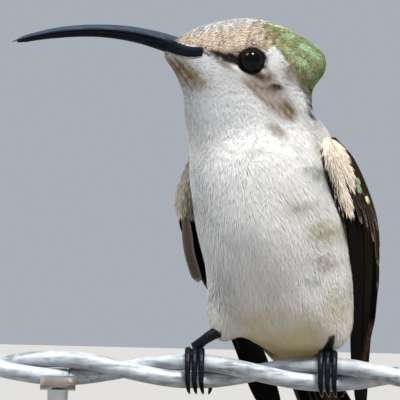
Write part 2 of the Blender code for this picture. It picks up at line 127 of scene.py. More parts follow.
BILL_CROWN = np.array((-20.8, -5.1, 78.15))
BILL_BEND_RADII = {"root": 28.0, "tip": 34.5}
BILL_ROOT = 11.6
BILL_TIP = -10.7
BILL_HALF_HEIGHTS = ((0.0, 1.15), (0.15, 1.08), (0.3, 0.94), (0.5, 0.77), (0.75, 0.64), (0.93, 0.42),
                     (1.0, 0.10))
BILL_WIDTH_TO_HEIGHT = 1.15
# The bare gape beside the bill's root, seen from the side: how far ahead of the eye, and its lower and upper
# edges above the eye.
GAPE_EDGES = ((5.95, 0.55, 1.62), (6.4, 0.40, 1.50), (6.9, 0.33, 1.46), (7.8, 0.32, 1.58), (8.9, 0.50, 2.0),
              (9.9, 0.85, 2.5), (10.9, 1.25, 2.8), (11.6, 1.6, 3.0))

WINGS = {
    "left": ((65.6, 3.4, 5.6, 8.3, 0.9), (62.5, 2.0, 8.4, 9.1, 1.6), (56.0, 2.7, 10.4, 9.8, 1.7),
             (50.0, 2.9, 10.6, 9.4, 1.5), (44.0, 3.0, 10.1, 8.4, 1.3), (38.0, 4.2, 9.9, 6.9, 1.1),
             (33.0, 6.2, 10.0, 5.6, 0.9), (30.5, 7.6, 9.6, 5.0, 0.7)),
    "right": ((63.6, -0.4, 1.8, 8.6, 0.9), (60.5, -2.4, 4.2, 9.4, 1.5), (56.5, -4.4, 5.0, 10.0, 1.5),
              (51.5, -4.6, 5.4, 9.9, 1.4), (47.6, -3.2, 5.8, 9.4, 1.3), (44.5, -1.4, 6.6, 8.8, 1.2),
              (39.5, -0.6, 8.0, 7.6, 1.1), (33.5, -0.8, 7.6, 5.8, 0.9), (30.0, 1.6, 5.8, 5.0, 0.7)),
}
WING_STEPS = 400
WING_FLATNESS = 0.7
TAIL_ROOT = np.array((3.6, 7.6, 43.0))
TAIL_WAY = np.array((0.37, 0.60, -0.71)) / np.linalg.norm((0.37, 0.60, -0.71))
TAIL_LENGTH = 25.0

PERCH_HEIGHT = 36.0
PERCH_LENGTH = 68.0
STRAND_RADIUS = 1.08
STRAND_OFFSET = STRAND_RADIUS + 0.03
HALF_TWIST = 16.6
ZINC_MARGIN = 0.012
ZINC_UNEVENNESS = 0.008
WIRE_RADIUS = 2.22
GRIP_HALF_WIDTH = WIRE_RADIUS - 0.25
# Legs: the ankle, where the foot's middle is along the wire, and how far the hind toe drifts along it. Spans
# are degrees round the wire from its top.
Leg = namedtuple("Leg", "ankle foot hallux_drift")
LEGS = {"left": Leg((9.1, -1.2, 41.0), 8.7, 2.2), "right": Leg((-5.6, -0.4, 40.7), -7.9, 2.2)}
TARSUS_RADII = (0.80, 0.72, 0.62, 0.72)
TOE_RADII = (0.44, 0.40, 0.38, 0.36, 0.34)
CLAW_RADII = (0.32, 0.28, 0.20, 0.09)
TOE_ROOT_SPACING = 0.82
TOE_SPACING = 0.86
SOLE_BEHIND = 0.15
SOLE_ABOVE_WIRE = 0.72
SHANK_BOW = np.array((0.0, -0.25, 0.1))
CLAW_DRIFT = 0.35
CLAW_HOOK = np.array((0.0, -0.1, 0.0))
CLAW_DROP = np.array((0.0, 0.0, -0.15))
TOE_SPAN = (24.0, 118.0)
CLAW_SPAN = (116.0, 176.0)
CLEAR_OF_WIRE = 0.44
BASE_SIZE = (76.0, 52.0, 6.0)
# The base's moulding, from its underside up: how far out from the inset edge, and the height.
BASE_PROFILE = ((0.0, 0.0), (0.25, 0.0), (0.6, 0.2), (0.8, 0.5), (0.8, 3.2), (0.72, 3.5), (0.35, 3.62),
                (0.3, 3.9), (0.25, 4.3), (-0.1, 4.9), (-0.65, 5.35), (-1.3, 5.6), (-1.55, 5.75), (-1.65, 6.0),
                (-3.0, 6.0))
BASE_INSET = 0.8
BASE_CORNER = 3.0
CREASE = math.radians(32)
ROD_RADIUS = 1.3
ROD_BELOW_WIRE = 1.62
SADDLE_HALF_LENGTH = 2.2
SADDLE_HALF_TURN = 1.15
SADDLE_WALL = 0.55
SADDLE_CLEARANCE = 0.06
ROD_PLACES = {"left": -1.5 * HALF_TWIST, "right": 1.5 * HALF_TWIST}

CAMERA_TARGET = (-7.7, 57.4)
CAMERA_DISTANCE = 1200.0
CAMERA_WIDTH = 50.0
CAMERA_ROLL = math.radians(1.36)


# Settings that a user would change.


def colour_setting(name, description, value):
    return bpy.props.FloatVectorProperty(name=name, description=description, subtype="COLOR", size=3,
                                         min=0.0, max=1.0, default=value)


def length_setting(name, description, millimetres):
    return bpy.props.FloatProperty(name=name, description=description, unit="LENGTH", precision=5,
                                   min=0.0, default=millimetres * MM)


def count_setting(name, description, value):
    return bpy.props.IntProperty(name=name, description=description, min=1, default=value)


class PlumageColours(bpy.types.PropertyGroup):
    """The colours of the plumage."""

    breast: colour_setting("Breast", "White of the throat, breast and belly", (0.72, 0.715, 0.705))
    # Painted shade: breast_shade is a cool grey laid over the throat, the cheeks and a few spots where the
    # white plumage lies in shadow.
    breast_shade: colour_setting("Breast shade", "Cool grey of the breast's softest shadows",
                                 (0.42, 0.43, 0.445))
    belly: colour_setting("Belly", "Buff of the lower belly and vent", (0.64, 0.54, 0.29))
    flank: colour_setting("Flank", "Bronze spots along the flanks", (0.30, 0.27, 0.16))
    cap: colour_setting("Cap", "Brown centres of the forehead's feathers", (0.17, 0.12, 0.08))
    cap_edge: colour_setting("Cap edges", "Tan edges of the forehead's feathers", (0.48, 0.40, 0.32))
    # Painted sheen: crown_top lays a paler grey along the top of the head, partly the crown's own brownish grey
    # and partly the light falling on it from above.
    crown_top: colour_setting("Crown top", "Grey sheen along the top of the head", (0.35, 0.345, 0.33))
    green: colour_setting("Green", "Green of the hind crown and back", (0.070, 0.105, 0.036))
    mint: colour_setting("Mint", "Pale glitter of the hindmost crown", (0.26, 0.37, 0.22))
    green_edge: colour_setting("Green edges", "Olive edges of the green feathers", (0.165, 0.155, 0.065))
    bronze: colour_setting("Bronze", "Bronze centres under the green", (0.060, 0.045, 0.015))
    tips: colour_setting("Tips", "Yellow tips on the top of the crown", (0.85, 0.85, 0.50))
    lores: colour_setting("Lores", "Dark stripe from the gape to the eye", (0.014, 0.007, 0.004))
    ear: colour_setting("Ear coverts", "Brown of the ear coverts and neck side", (0.17, 0.11, 0.07))
    neck: colour_setting("Neck side", "Olive brown of the neck's side", (0.13, 0.088, 0.04))
    chin: colour_setting("Chin", "Dusky tips under the bill", (0.20, 0.13, 0.04))
    flight: colour_setting("Flight feathers", "Near black of the wing and tail", (0.003, 0.0026, 0.0022))
    flight_edge: colour_setting("Flight edges", "Tan edges of the flight feathers", (0.30, 0.21, 0.13))
    covert: colour_setting("Coverts", "Brown of the wing coverts", (0.020, 0.014, 0.010))
    covert_edge: colour_setting("Covert edges", "Pale tips of the wing coverts", (0.36, 0.29, 0.22))
    lappet: colour_setting("Lappets", "Rosy white of the soft tufts at the wing's bend", (0.60, 0.525, 0.435))


class PlumageSizes(bpy.types.PropertyGroup):
    """How long and how many the barbs and vanes are."""

    breast_barb: length_setting("Breast barb", "Length of a barb on the breast", 2.8)
    throat_barb: length_setting("Throat barb", "Length of a barb on the throat", 1.25)
    face_barb: length_setting("Face barb", "Length of a barb beside the eye", 0.6)
    barb_width: length_setting("Barb width", "Width of a barb at its root", 0.11)
    cap_barb: length_setting("Cap barb", "Length of a barb on the crown", 0.85)
    back_vane: length_setting("Back vane", "Length of a feather on the back", 2.4)
    breast_fans: count_setting("Breast fans", "Tufts on the breast, belly and flanks", 4500)
    throat_fans: count_setting("Throat fans", "Tufts on the throat and neck", 4000)
    face_fans: count_setting("Face fans", "Tufts beside the eyes", 2000)
    cap_fans: count_setting("Cap tufts", "Tufts on the forehead and crown", 2700)
    back_vanes: count_setting("Back vanes", "Feathers on the back", 1100)


class PerchAndStand(bpy.types.PropertyGroup):
    """The finish of the wire and the stand."""

    zinc: colour_setting("Zinc", "Pale grey of the galvanised wire", (0.26, 0.29, 0.32))
    wood: colour_setting("Wood", "Dark heart of the base's grain", (0.060, 0.030, 0.016))
    wood_light: colour_setting("Wood grain", "Lighter streaks of the base's grain", (0.17, 0.088, 0.045))
    floor: colour_setting("Floor", "Pale floor", (0.36, 0.36, 0.355))


# Shader maths.


class Socket:
    """A shader socket that takes arithmetic. Each operator adds one Math node."""

    def __init__(self, look, socket):
        self.look = look
        self.socket = socket

    def __add__(self, other):
        return self.look.maths("ADD", self, other)

    def __sub__(self, other):
        return self.look.maths("SUBTRACT", self, other)

    def __rsub__(self, other):
        return self.look.maths("SUBTRACT", other, self)

    def __mul__(self, other):
        return self.look.maths("MULTIPLY", self, other)

    __radd__ = __add__
    __rmul__ = __mul__


class Look:
    """A material with one Principled shader, and short ways to feed it."""

    def __init__(self, name, roughness, metallic=0.0, coat=0.0, sheen=0.0, specular=0.5):
        self.material = bpy.data.materials.new(name)
        self.material.use_nodes = True
        self.nodes = self.material.node_tree.nodes
        self.shader = self.nodes["Principled BSDF"]
        constants = {"Roughness": roughness, "Metallic": metallic, "Coat Weight": coat, "Coat Roughness": 0.08,
                     "Sheen Weight": sheen, "Sheen Roughness": 0.5, "Specular IOR Level": specular}
        for key, value in constants.items():
            self.shader.inputs[key].default_value = value

    def node(self, kind, settings=None, values=None, output=0):
        """Adds any node: its settings first, then the values or links of its sockets."""
        made = self.nodes.new(kind)
        for key, value in (settings or {}).items():
            setattr(made, key, value)
        for key, value in (values or {}).items():
            self.feed(made.inputs[key], value)
        return Socket(self, made.outputs[output])

    def feed(self, target, value):
        if isinstance(value, Socket):
            self.material.node_tree.links.new(value.socket, target)
        elif isinstance(value, (tuple, list)) and len(value) == 3 and len(target.default_value) == 4:
            target.default_value = (*value, 1.0)
        else:
            target.default_value = value

    def maths(self, operation, first, second=0.0):
        return self.node("ShaderNodeMath", {"operation": operation}, {0: first, 1: second})

    def mix(self, factor, first, second, blend="MIX"):
        settings = {"data_type": "RGBA", "blend_type": blend, "clamp_factor": True}
        return self.node("ShaderNodeMix", settings, {0: factor, 6: first, 7: second}, output=2)

    def attribute(self, name, colour=False):
        return self.node("ShaderNodeAttribute", {"attribute_name": name}, output=0 if colour else 2)

    def place(self, scale=(1.0, 1.0, 1.0)):
        """Object coordinates in millimetres, stretched by a scale for each axis."""
        spot = self.node("ShaderNodeTexCoord", output=3)
        return self.node("ShaderNodeMapping", {}, {0: spot, 3: tuple(s / MM for s in scale)})

    def noise(self, where, scale, detail=3.0, roughness=0.55):
        values = {"Vector": where, "Scale": scale, "Detail": detail, "Roughness": roughness}
        return self.node("ShaderNodeTexNoise", {}, values)

    def range(self, value, low, high, new_low=0.0, new_high=1.0):
        values = {0: value, 1: low, 2: high, 3: new_low, 4: new_high}
        return self.node("ShaderNodeMapRange", {"interpolation_type": "SMOOTHSTEP"}, values)

    def shaded(self, paint, shade):
        """A colour times one number."""
        grey = self.node("ShaderNodeCombineColor", {}, {0: shade, 1: shade, 2: shade})
        return self.mix(1.0, paint, grey, "MULTIPLY")

    def paint(self, **values):
        for key, value in values.items():
            self.feed(self.shader.inputs[key.replace("_", " ")], value)

    def bump(self, height, distance, strength=1.0):
        values = {"Height": height, "Distance": distance * MM, "Strength": strength}
        self.paint(Normal=self.node("ShaderNodeBump", {}, values))


LOOKS = {}


def plumage_look(name, roughness=0.8, sheen=0.15):
    """Painted by the feathers' own colours, with a fine unevenness, and glossier where they shine."""
    look = Look(name, roughness, sheen=sheen, specular=0.04)
    paint = look.attribute("plumage", colour=True)
    shine = look.attribute("shine")
    fine = look.noise(look.place(), 6.0, detail=4.0)
    shade = look.range(fine, 0.25, 0.75, 0.94, 1.03)
    look.paint(Base_Color=look.shaded(paint, shade), Metallic=shine * 0.25, Roughness=roughness - shine * 0.25)
    return look.material


def vane_look(name, roughness=0.6):
    """A stiff feather: slanting barbs on each side of the shaft, as ridges and as a faint change of tone."""
    look = Look(name, roughness, specular=0.0)
    paint = look.attribute("plumage", colour=True)
    shine = look.attribute("shine")
    across = look.attribute("across")
    along = look.attribute("along")
    slant = look.maths("ABSOLUTE", across) * 0.9 + along
    barbs = look.maths("SINE", slant * (2 * math.pi / 0.16))
    worn = look.noise(look.place(), 2.2, detail=4.0)
    shade = look.range(worn, 0.25, 0.75, 0.8, 1.15) + barbs * 0.08
    look.paint(Base_Color=look.shaded(paint, shade), Metallic=shine * 0.6,
               Roughness=roughness + (1 - shine) * 0.1)
    look.bump(barbs, 0.02, 0.5)
    return look.material


def horn_look(name, colour, streak_and_sheen_colour, roughness):
    """Dark horn with faint long streaks, a worn film, and painted sheen: a paler blue-grey along its crest that
    stands in for the sky's reflection.
    """
    look = Look(name, roughness, specular=0.08)
    crest = look.attribute("crest")
    streak = look.noise(look.place((0.35, 2.5, 2.5)), 1.6, detail=5.0)
    film = look.noise(look.place(), 0.55, detail=3.0)
    # Painted sheen: along the crest the horn is painted towards the paler colour, a reflection of the sky laid
    # into the colour.
    zinc_bloom_and_bill_sheen = crest * look.range(streak, 0.2, 0.6, 0.5, 1.0)
    paint = look.mix(zinc_bloom_and_bill_sheen + look.range(streak, 0.5, 0.8) * 0.15, colour, streak_and_sheen_colour)
    look.paint(Base_Color=paint, Roughness=look.range(film, 0.3, 0.7, roughness - 0.08, roughness + 0.14))
    look.bump(streak, 0.02, 0.5)
    return look.material


def eye_look():
    """A black pupil in a very dark brown iris, under a wet cornea."""
    look = Look("wet dark eye", 0.1, specular=0.12)
    turn = look.attribute("from_axis")
    fibre = look.noise(look.place(), 7.0, detail=4.0)
    iris = look.mix(fibre, (0.003, 0.002, 0.0015), (0.010, 0.006, 0.004))
    ring = look.range(turn, 0.62, 0.70) * (1 - look.range(turn, 1.0, 1.15))
    look.paint(Base_Color=look.mix(ring, (0.0008, 0.0008, 0.001), iris))
    return look.material


def lid_look():
    """Dark bare skin with fine wrinkles."""
    look = Look("lid skin", 0.6, specular=0.05)
    wrinkle = look.noise(look.place(), 9.0, detail=5.0)
    look.paint(Base_Color=look.mix(wrinkle, (0.002, 0.002, 0.002), (0.010, 0.009, 0.009)))
    look.bump(wrinkle, 0.05, 0.8)
    return look.material


def leg_look():
    """Black, slightly blue scaly skin, with painted highlights: paler blue on the crests of the scutes."""
    look = Look("scaly leg skin", 0.45, specular=0.12)
    crest = look.attribute("crest")
    patch = look.noise(look.place(), 2.5, detail=4.0)
    # Painted highlight: the scutes' crests are painted paler blue.
    paint = look.mix(crest * 0.75, (0.0008, 0.0012, 0.0026), (0.005, 0.008, 0.014))
    look.paint(Base_Color=paint, Roughness=look.range(patch, 0.3, 0.7, 0.26, 0.46))
    look.bump(look.noise(look.place(), 14.0, detail=3.0), 0.03, 0.5)
    return look.material


def zinc_look(colour):
    """Galvanised wire: crystalline patches, a dull white film in places, and darker rubbed streaks along the
    strand.
    """
    look = Look("galvanised zinc", 0.5, metallic=0.1, specular=0.4)
    where = look.place()
    crystal = look.node("ShaderNodeTexVoronoi", {"feature": "F1"}, {"Vector": where, "Scale": 1.1}, output=1)
    facet = look.node("ShaderNodeSeparateColor", {}, {0: crystal})
    zinc_bloom_and_bill_sheen = look.noise(look.place((0.5, 1.0, 1.0)), 0.45, detail=6.0, roughness=0.65)
    streak = look.noise(look.place((0.12, 1.4, 1.4)), 0.9, detail=5.0, roughness=0.6)
    dark = tuple(0.3 * part for part in colour)
    pale = tuple(min(1.0, 1.5 * part) for part in colour)
    base = look.mix(look.range(zinc_bloom_and_bill_sheen, 0.35, 0.7), colour, pale)
    base = look.mix(look.range(streak, 0.46, 0.68) * 0.85, base, dark)
    base = look.mix(facet * 0.16, base, (0.75, 0.8, 0.86))
    look.paint(Base_Color=base, Roughness=look.range(zinc_bloom_and_bill_sheen, 0.3, 0.7, 0.46, 0.66),
               Metallic=look.range(zinc_bloom_and_bill_sheen, 0.35, 0.7, 0.25, 0.05))
    look.bump(look.noise(look.place((0.4, 1.0, 1.0)), 1.8, detail=5.0), 0.10, 0.45)
    return look.material


def wood_look(dark, light):
    """Oiled hardwood: grain lines that wander along X, with pores."""
    look = Look("oiled hardwood", 0.38, coat=0.25, specular=0.5)
    drift = look.noise(look.place((0.03, 0.25, 0.25)), 1.0, detail=4.0)
    rings = look.node("ShaderNodeTexWave", {"wave_type": "BANDS", "bands_direction": "Y"},
                      {"Vector": look.place((0.05, 1.0, 1.0)), "Scale": 0.16, "Distortion": 6.0,
                       "Detail": 3.0, "Detail Scale": 0.7}, output=1)
    pores = look.noise(look.place((0.15, 5.0, 5.0)), 1.0, detail=3.0)
    grain = look.mix(rings * 0.75, dark, light)
    grain = look.mix(look.range(drift, 0.35, 0.7) * 0.4, grain, light)
    grain = look.mix(look.range(pores, 0.58, 0.7) * 0.6, grain, tuple(0.35 * part for part in dark))
    look.paint(Base_Color=grain, Roughness=look.range(pores, 0.4, 0.7, 0.33, 0.5))
    look.bump(pores, 0.06, 0.4)
    return look.material


def steel_look():
    """Satin steel, brushed round the rod, with a few dull spots."""
    look = Look("satin steel", 0.32, metallic=1.0)
    brushed = look.noise(look.place((1.0, 1.0, 9.0)), 1.2, detail=4.0)
    spots = look.noise(look.place(), 0.6, detail=3.0)
    look.paint(Base_Color=look.mix(brushed, (0.42, 0.42, 0.43), (0.60, 0.60, 0.61)),
               Roughness=look.range(spots, 0.3, 0.75, 0.26, 0.42))
    look.bump(brushed, 0.02, 0.3)
    return look.material


def floor_look(colour):
    """Matt pale floor with a barely visible unevenness."""
    look = Look("matt floor", 0.9, specular=0.2)
    cloud = look.noise(look.place(), 0.012, detail=2.0)
    paler = tuple(min(1.0, 1.03 * part) for part in colour)
    look.paint(Base_Color=look.mix(cloud, colour, paler))
    return look.material


def get_look(name):
    """The material of this name, made once."""
    stand = bpy.context.scene.hummingbird_stand
    makers = {
        "soft plumage": lambda: plumage_look("soft plumage"),
        "sleek plumage": lambda: plumage_look("sleek plumage", 0.66, 0.0),
        "arm plumage": lambda: plumage_look("arm plumage", 0.9, 0.0),
        "stiff feather": lambda: vane_look("stiff feather"),
        # The bill's second colour is a painted reflection: the blue-grey of the sky along the upper mandible's
        # top, and also the tint of its faint streaks.
        "bill horn": lambda: horn_look("blue-black bill horn", (0.0012, 0.0025, 0.006),
                                       (0.030, 0.047, 0.072), 0.5),
        "claw horn": lambda: horn_look("black claw horn", (0.003, 0.003, 0.004), (0.012, 0.012, 0.015), 0.26),
        "eye": eye_look,
        "lid": lid_look,
        "leg": leg_look,
        "zinc": lambda: zinc_look(tuple(stand.zinc)),
        "wood": lambda: wood_look(tuple(stand.wood), tuple(stand.wood_light)),
        "steel": steel_look,
        "floor": lambda: floor_look(tuple(stand.floor)),
    }
    if name not in LOOKS:
        LOOKS[name] = makers[name]()
    return LOOKS[name]


# Numbers and shapes.


def circle(count):
    """Angles at even steps once round."""
    return np.linspace(0, 2 * math.pi, count, endpoint=False)


def unit(vectors):
    return vectors / (np.linalg.norm(vectors, axis=-1, keepdims=True) + 1e-12)


def dot(vectors, way):
    return (vectors * way).sum(axis=-1)


def smooth_step(values, low, high):
    t = np.clip((values - low) / (high - low), 0.0, 1.0)
    return t * t * (3 - 2 * t)


def smooth_rows(rows, count):
    """Rows of numbers read at even steps from a smooth curve through the given rows (Catmull-Rom)."""
    rows = np.array(rows, float)
    padded = np.vstack((2 * rows[0] - rows[1], rows, 2 * rows[-1] - rows[-2]))
    lengths = np.linalg.norm(np.diff(rows, axis=0), axis=1)
    knots = np.concatenate(([0.0], np.cumsum(lengths)))
    read = np.interp(np.linspace(0, knots[-1], count), knots, np.arange(len(rows)))
    spans = np.minimum(read.astype(int), len(rows) - 2)
    t = (read - spans)[:, None]
    a, b, c, d = (padded[spans + k] for k in range(4))
    return 0.5 * (2 * b + (c - a) * t + (2 * a - 5 * b + 4 * c - d) * t**2 + (3 * b - a - 3 * c + d) * t**3)


def read_evenly(values, at):
    """Values at even steps from 0 to 1, read between them."""
    return np.interp(at, np.linspace(0, 1, len(values)), values)


def read_rows(table, at):
    """Each column of a table of even steps, read between its rows at places from 0 to 1."""
    return np.stack([read_evenly(column, at) for column in np.array(table).T], axis=-1)


def read_table(table, at):
    return np.interp(at, *np.array(table).T)


def ripple(points, wavelength, seed, count=7):
    """A smooth unevenness of about -1 to 1: plane sine waves of one length, added up."""
    random = np.random.default_rng(seed)
    ways = unit(random.normal(size=(count, 3)))
    starts = random.uniform(0, 2 * math.pi, count)
    waves = np.sin(points @ ways.T * (2 * math.pi / wavelength) + starts)
    return waves.sum(axis=-1) / math.sqrt(count)


def spread_numbers(count, seed):
    """Pairs of numbers from 0 to 1 that fill the square evenly: steps by two irrational shares."""
    n = np.arange(count) + seed * 97.13
    return (0.5 + n * 0.7548776662466927) % 1.0, (0.5 + n * 0.5698402909980532) % 1.0


def centre_of(name):
    return np.array(BLOBS[name].centre)


def body_field(points):
    """About how far each point is outside the melted ellipsoids, and the way straight out from them."""
    total = 0.0
    slope = 0.0
    for blob in BLOBS.values():
        local = (points - np.array(blob.centre)) @ blob.axes.T
        radii = np.array(blob.radii)
        scaled = np.linalg.norm(local / radii, axis=-1)
        steep = local / radii**2
        steepness = np.linalg.norm(steep, axis=-1) + 1e-9
        weight = np.exp(-scaled * (scaled - 1) / steepness / BLEND)
        total = total + weight
        slope = slope + (weight / steepness)[..., None] * (steep @ blob.axes)
    return -BLEND * np.log(total), unit(slope)


def on_body(origins, ways, outside):
    """Where rays from inside the body are this far outside its form, found by halving."""
    near = np.zeros(ways.shape[:-1])
    far = near + BODY_REACH
    for _ in range(HALVINGS):
        middle = (near + far) / 2
        inside = body_field(origins + ways * middle[..., None])[0] < outside
        near = np.where(inside, middle, near)
        far = np.where(inside, far, middle)
    return origins + ways * near[..., None]


def eye_centre(sign):
    skull = centre_of("skull")
    return skull + HEAD_LEFT * EYE_ASIDE * sign + BILL_WAY * EYE_AHEAD + UP * EYE_ABOVE


def beside_eye(points):
    """How far ahead of, above and outwards from the nearer eye each point is."""
    aside = dot(points - centre_of("skull"), HEAD_LEFT)
    sign = np.where(aside >= 0, 1.0, -1.0)
    local = points - (eye_centre(1) + HEAD_LEFT * (sign - 1)[..., None] * EYE_ASIDE)
    return dot(local, BILL_WAY), dot(local, UP), dot(local, HEAD_LEFT) * sign


def socket_dip(points):
    """How much lower the coat lies close round an eye: a flat-bottomed bowl."""
    ahead, above, out = beside_eye(points)
    bowl = np.exp(-((ahead**2 + above**2) / SOCKET_REACH**2) ** 2)
    return SOCKET_DEPTH * bowl * smooth_step(out, -2.0, 0.0)


def to_level(points, level):
    """Moves points straight in or out to this level over the body's form, less the eye's bowl."""
    for _ in range(3):
        distance, outwards = body_field(points)
        points = points + outwards * (level - socket_dip(points) - distance)[..., None]
    return points


def clear_of_eyes(points):
    """Pushes points that lie over an eye sideways, to just outside the lids."""
    ahead, above, out = beside_eye(points)
    reach = np.hypot(ahead, above) + 1e-9
    edge = LID_OPENING + 0.06
    push = np.where((out > 0) & (reach < edge), edge * (0.96 + 0.04 * reach / edge) - reach, 0.0) / reach
    return points + (BILL_WAY * ahead[..., None] + UP * above[..., None]) * push[..., None]


def in_bill(points, margin=0.0):
    """Which points are inside the bill or over the bare gape beside its root."""
    along = -dot(points - BILL_CROWN, BILL_WAY)
    aside = dot(points - BILL_CROWN, HEAD_LEFT)
    rise = points[..., 2] - BILL_CROWN[2] + along**2 / (2 * BILL_BEND_RADII["root"])
    in_tube = (np.hypot(aside / BILL_WIDTH_TO_HEIGHT, rise) < 1.1 + margin) & (along < BILL_ROOT)
    ahead, above, out = beside_eye(points)
    places, low, high = np.array(GAPE_EDGES).T
    in_gape = (above > np.interp(ahead, places, low) - margin) & (ahead > places[0] - margin)
    in_gape = in_gape & (above < np.interp(ahead, places, high) + margin)
    return in_tube | (in_gape & (out > -3.4))


def spine_frame(place):
    """Points of the spine at places from 0 to 1, and its rings' two ways: off the hinge, and head's left."""
    table = smooth_rows(SPINE, SPINE_STEPS + 1)
    centre = read_rows(table, place)
    away = centre - HINGE
    away = away - HEAD_LEFT * dot(away, HEAD_LEFT)[..., None]
    away[..., 2] = np.where(centre[..., 2] < HINGE[2], 0.0, away[..., 2])
    return centre, unit(away), np.broadcast_to(HEAD_LEFT, away.shape)


def body_points(place, turn, level):
    """The surface at this level over the body's form: rings about the spine, which tilt to a pole at its
    ends."""
    centre, away, aside = spine_frame(np.clip(place, 0.0, 1.0))
    tilt = np.where(place < 0, place, np.maximum(place - 1, 0.0)) * math.pi / 2
    flat = np.cos(turn)[..., None] * away + np.sin(turn)[..., None] * aside
    ways = flat * np.cos(tilt)[..., None] + np.cross(aside, away) * np.sin(tilt)[..., None]
    return to_level(on_body(centre, ways, level), level)


def coat_depth(place):
    return read_table(COAT_DEPTHS, place)


# Making meshes.


def joined_solids(rings, starts, ends):
    """Vertices and faces of many closed solids, each a row of rings with a point at both ends."""
    count, stations, sides = rings.shape[:3]
    size = stations * sides + 2
    vertices = np.concatenate((rings.reshape(count, -1, 3), starts[:, None], ends[:, None]), axis=1)
    k = np.arange(sides)
    onward = (k + 1) % sides
    rows = (np.arange(stations - 1) * sides)[:, None]
    cells = (rows + k, rows + onward, rows + sides + onward, rows + sides + k)
    quads = np.stack(cells, axis=-1).reshape(-1, 4)
    top = (stations - 1) * sides
    first = np.stack((np.full(sides, size - 2), onward, k), axis=-1)
    last = np.stack((np.full(sides, size - 1), top + k, top + onward), axis=-1)
    tris = np.concatenate((first, last))
    corners = vertices[0]
    fans = np.concatenate((quads[:, [0, 1, 2]], quads[:, [0, 2, 3]], tris))
    if np.linalg.det(corners[fans] - corners[0]).sum() < 0:
        quads, tris = quads[:, ::-1], tris[:, ::-1]
    offsets = (np.arange(count) * size)[:, None, None]
    return vertices.reshape(-1, 3), (quads + offsets).reshape(-1, 4), (tris + offsets).reshape(-1, 3)


def one_solid(rings, start=None, end=None):
    """Vertices and faces of one closed solid. Its end points are its end rings' middles, unless given."""
    start = rings[0].mean(axis=0) if start is None else start
    end = rings[-1].mean(axis=0) if end is None else end
    return joined_solids(rings[None], start[None], end[None])


def crease(piece):
    """Draws the edges sharp where faces meet at more than the crease's angle."""
    piece.data.set_sharp_from_angle(angle=CREASE)


def spread_to_vertices(values, poles):
    """Values for each ring point of each solid, with those of its two end points, in the vertices' order."""
    count = values.shape[0]
    tail = values.shape[3:]
    parts = (values.reshape(count, -1, *tail), *(end[:, None] for end in poles))
    return np.concatenate(parts, axis=1).reshape(-1, *tail)


def store(layer, key, values):
    layer.data.foreach_set(key, values.astype(np.float32).ravel())


def add_piece(name, shape, look, slot, uv=None, colours=None, floats=None, replaces=(), normals=None):
    """A mesh object from vertices in millimetres, quads and triangles, riding on its body. The normals, where
    given, light each vertex as if it faced that way."""
    vertices, quads, tris = shape
    corners = np.concatenate((quads.ravel(), tris.ravel())).astype(np.int32)
    totals = np.concatenate((np.full(len(quads), 4), np.full(len(tris), 3)))
    starts = np.concatenate(([0], np.cumsum(totals)[:-1])).astype(np.int32)
    mesh = bpy.data.meshes.new(name)
    mesh.vertices.add(len(vertices))
    mesh.vertices.foreach_set("co", (vertices * MM).astype(np.float32).ravel())
    mesh.loops.add(len(corners))
    mesh.loops.foreach_set("vertex_index", corners)
    mesh.polygons.add(len(totals))
    mesh.polygons.foreach_set("loop_start", starts)
    mesh.update(calc_edges=True)
    if mesh.validate():
        raise RuntimeError(name + " has faces that are not valid")
    if uv is not None:
        store(mesh.uv_layers.new(name="OFBake"), "uv", closed_map(uv[corners], len(quads)))
    if colours is not None:
        rgba = np.concatenate((colours, np.ones((len(colours), 1))), axis=1)
        store(mesh.color_attributes.new("plumage", "FLOAT_COLOR", "POINT"), "color", rgba)
    for key, values in (floats or {}).items():
        store(mesh.attributes.new(key, "FLOAT", "POINT"), "value", values)
    mesh.shade_smooth()
    if normals is not None:
        store(mesh.attributes.new("custom_normal", "FLOAT_VECTOR", "POINT"), "vector", normals)
    mesh.materials.append(get_look(look))
    obj = bpy.data.objects.new(name, mesh)
    bpy.context.scene.collection.objects.link(obj)
    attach(obj, "root")
    if replaces:
        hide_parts(*replaces)
    return obj


def closed_map(spots, quad_count):
    """Map places of each face's corners, where a face across the seam takes its low corners past 1."""
    parts = (spots[:quad_count * 4].reshape(-1, 4, 2), spots[quad_count * 4:].reshape(-1, 3, 2))
    for part in parts:
        wide = np.ptp(part[..., 0], axis=1) > 0.5
        part[..., 0] = np.where(wide[:, None] & (part[..., 0] < 0.5), part[..., 0] + 1, part[..., 0])
    return np.concatenate([part.reshape(-1, 2) for part in parts])


# The plumage's markings.

Marking = namedtuple("Marking", "colour ahead above half_long half_high slope strength")
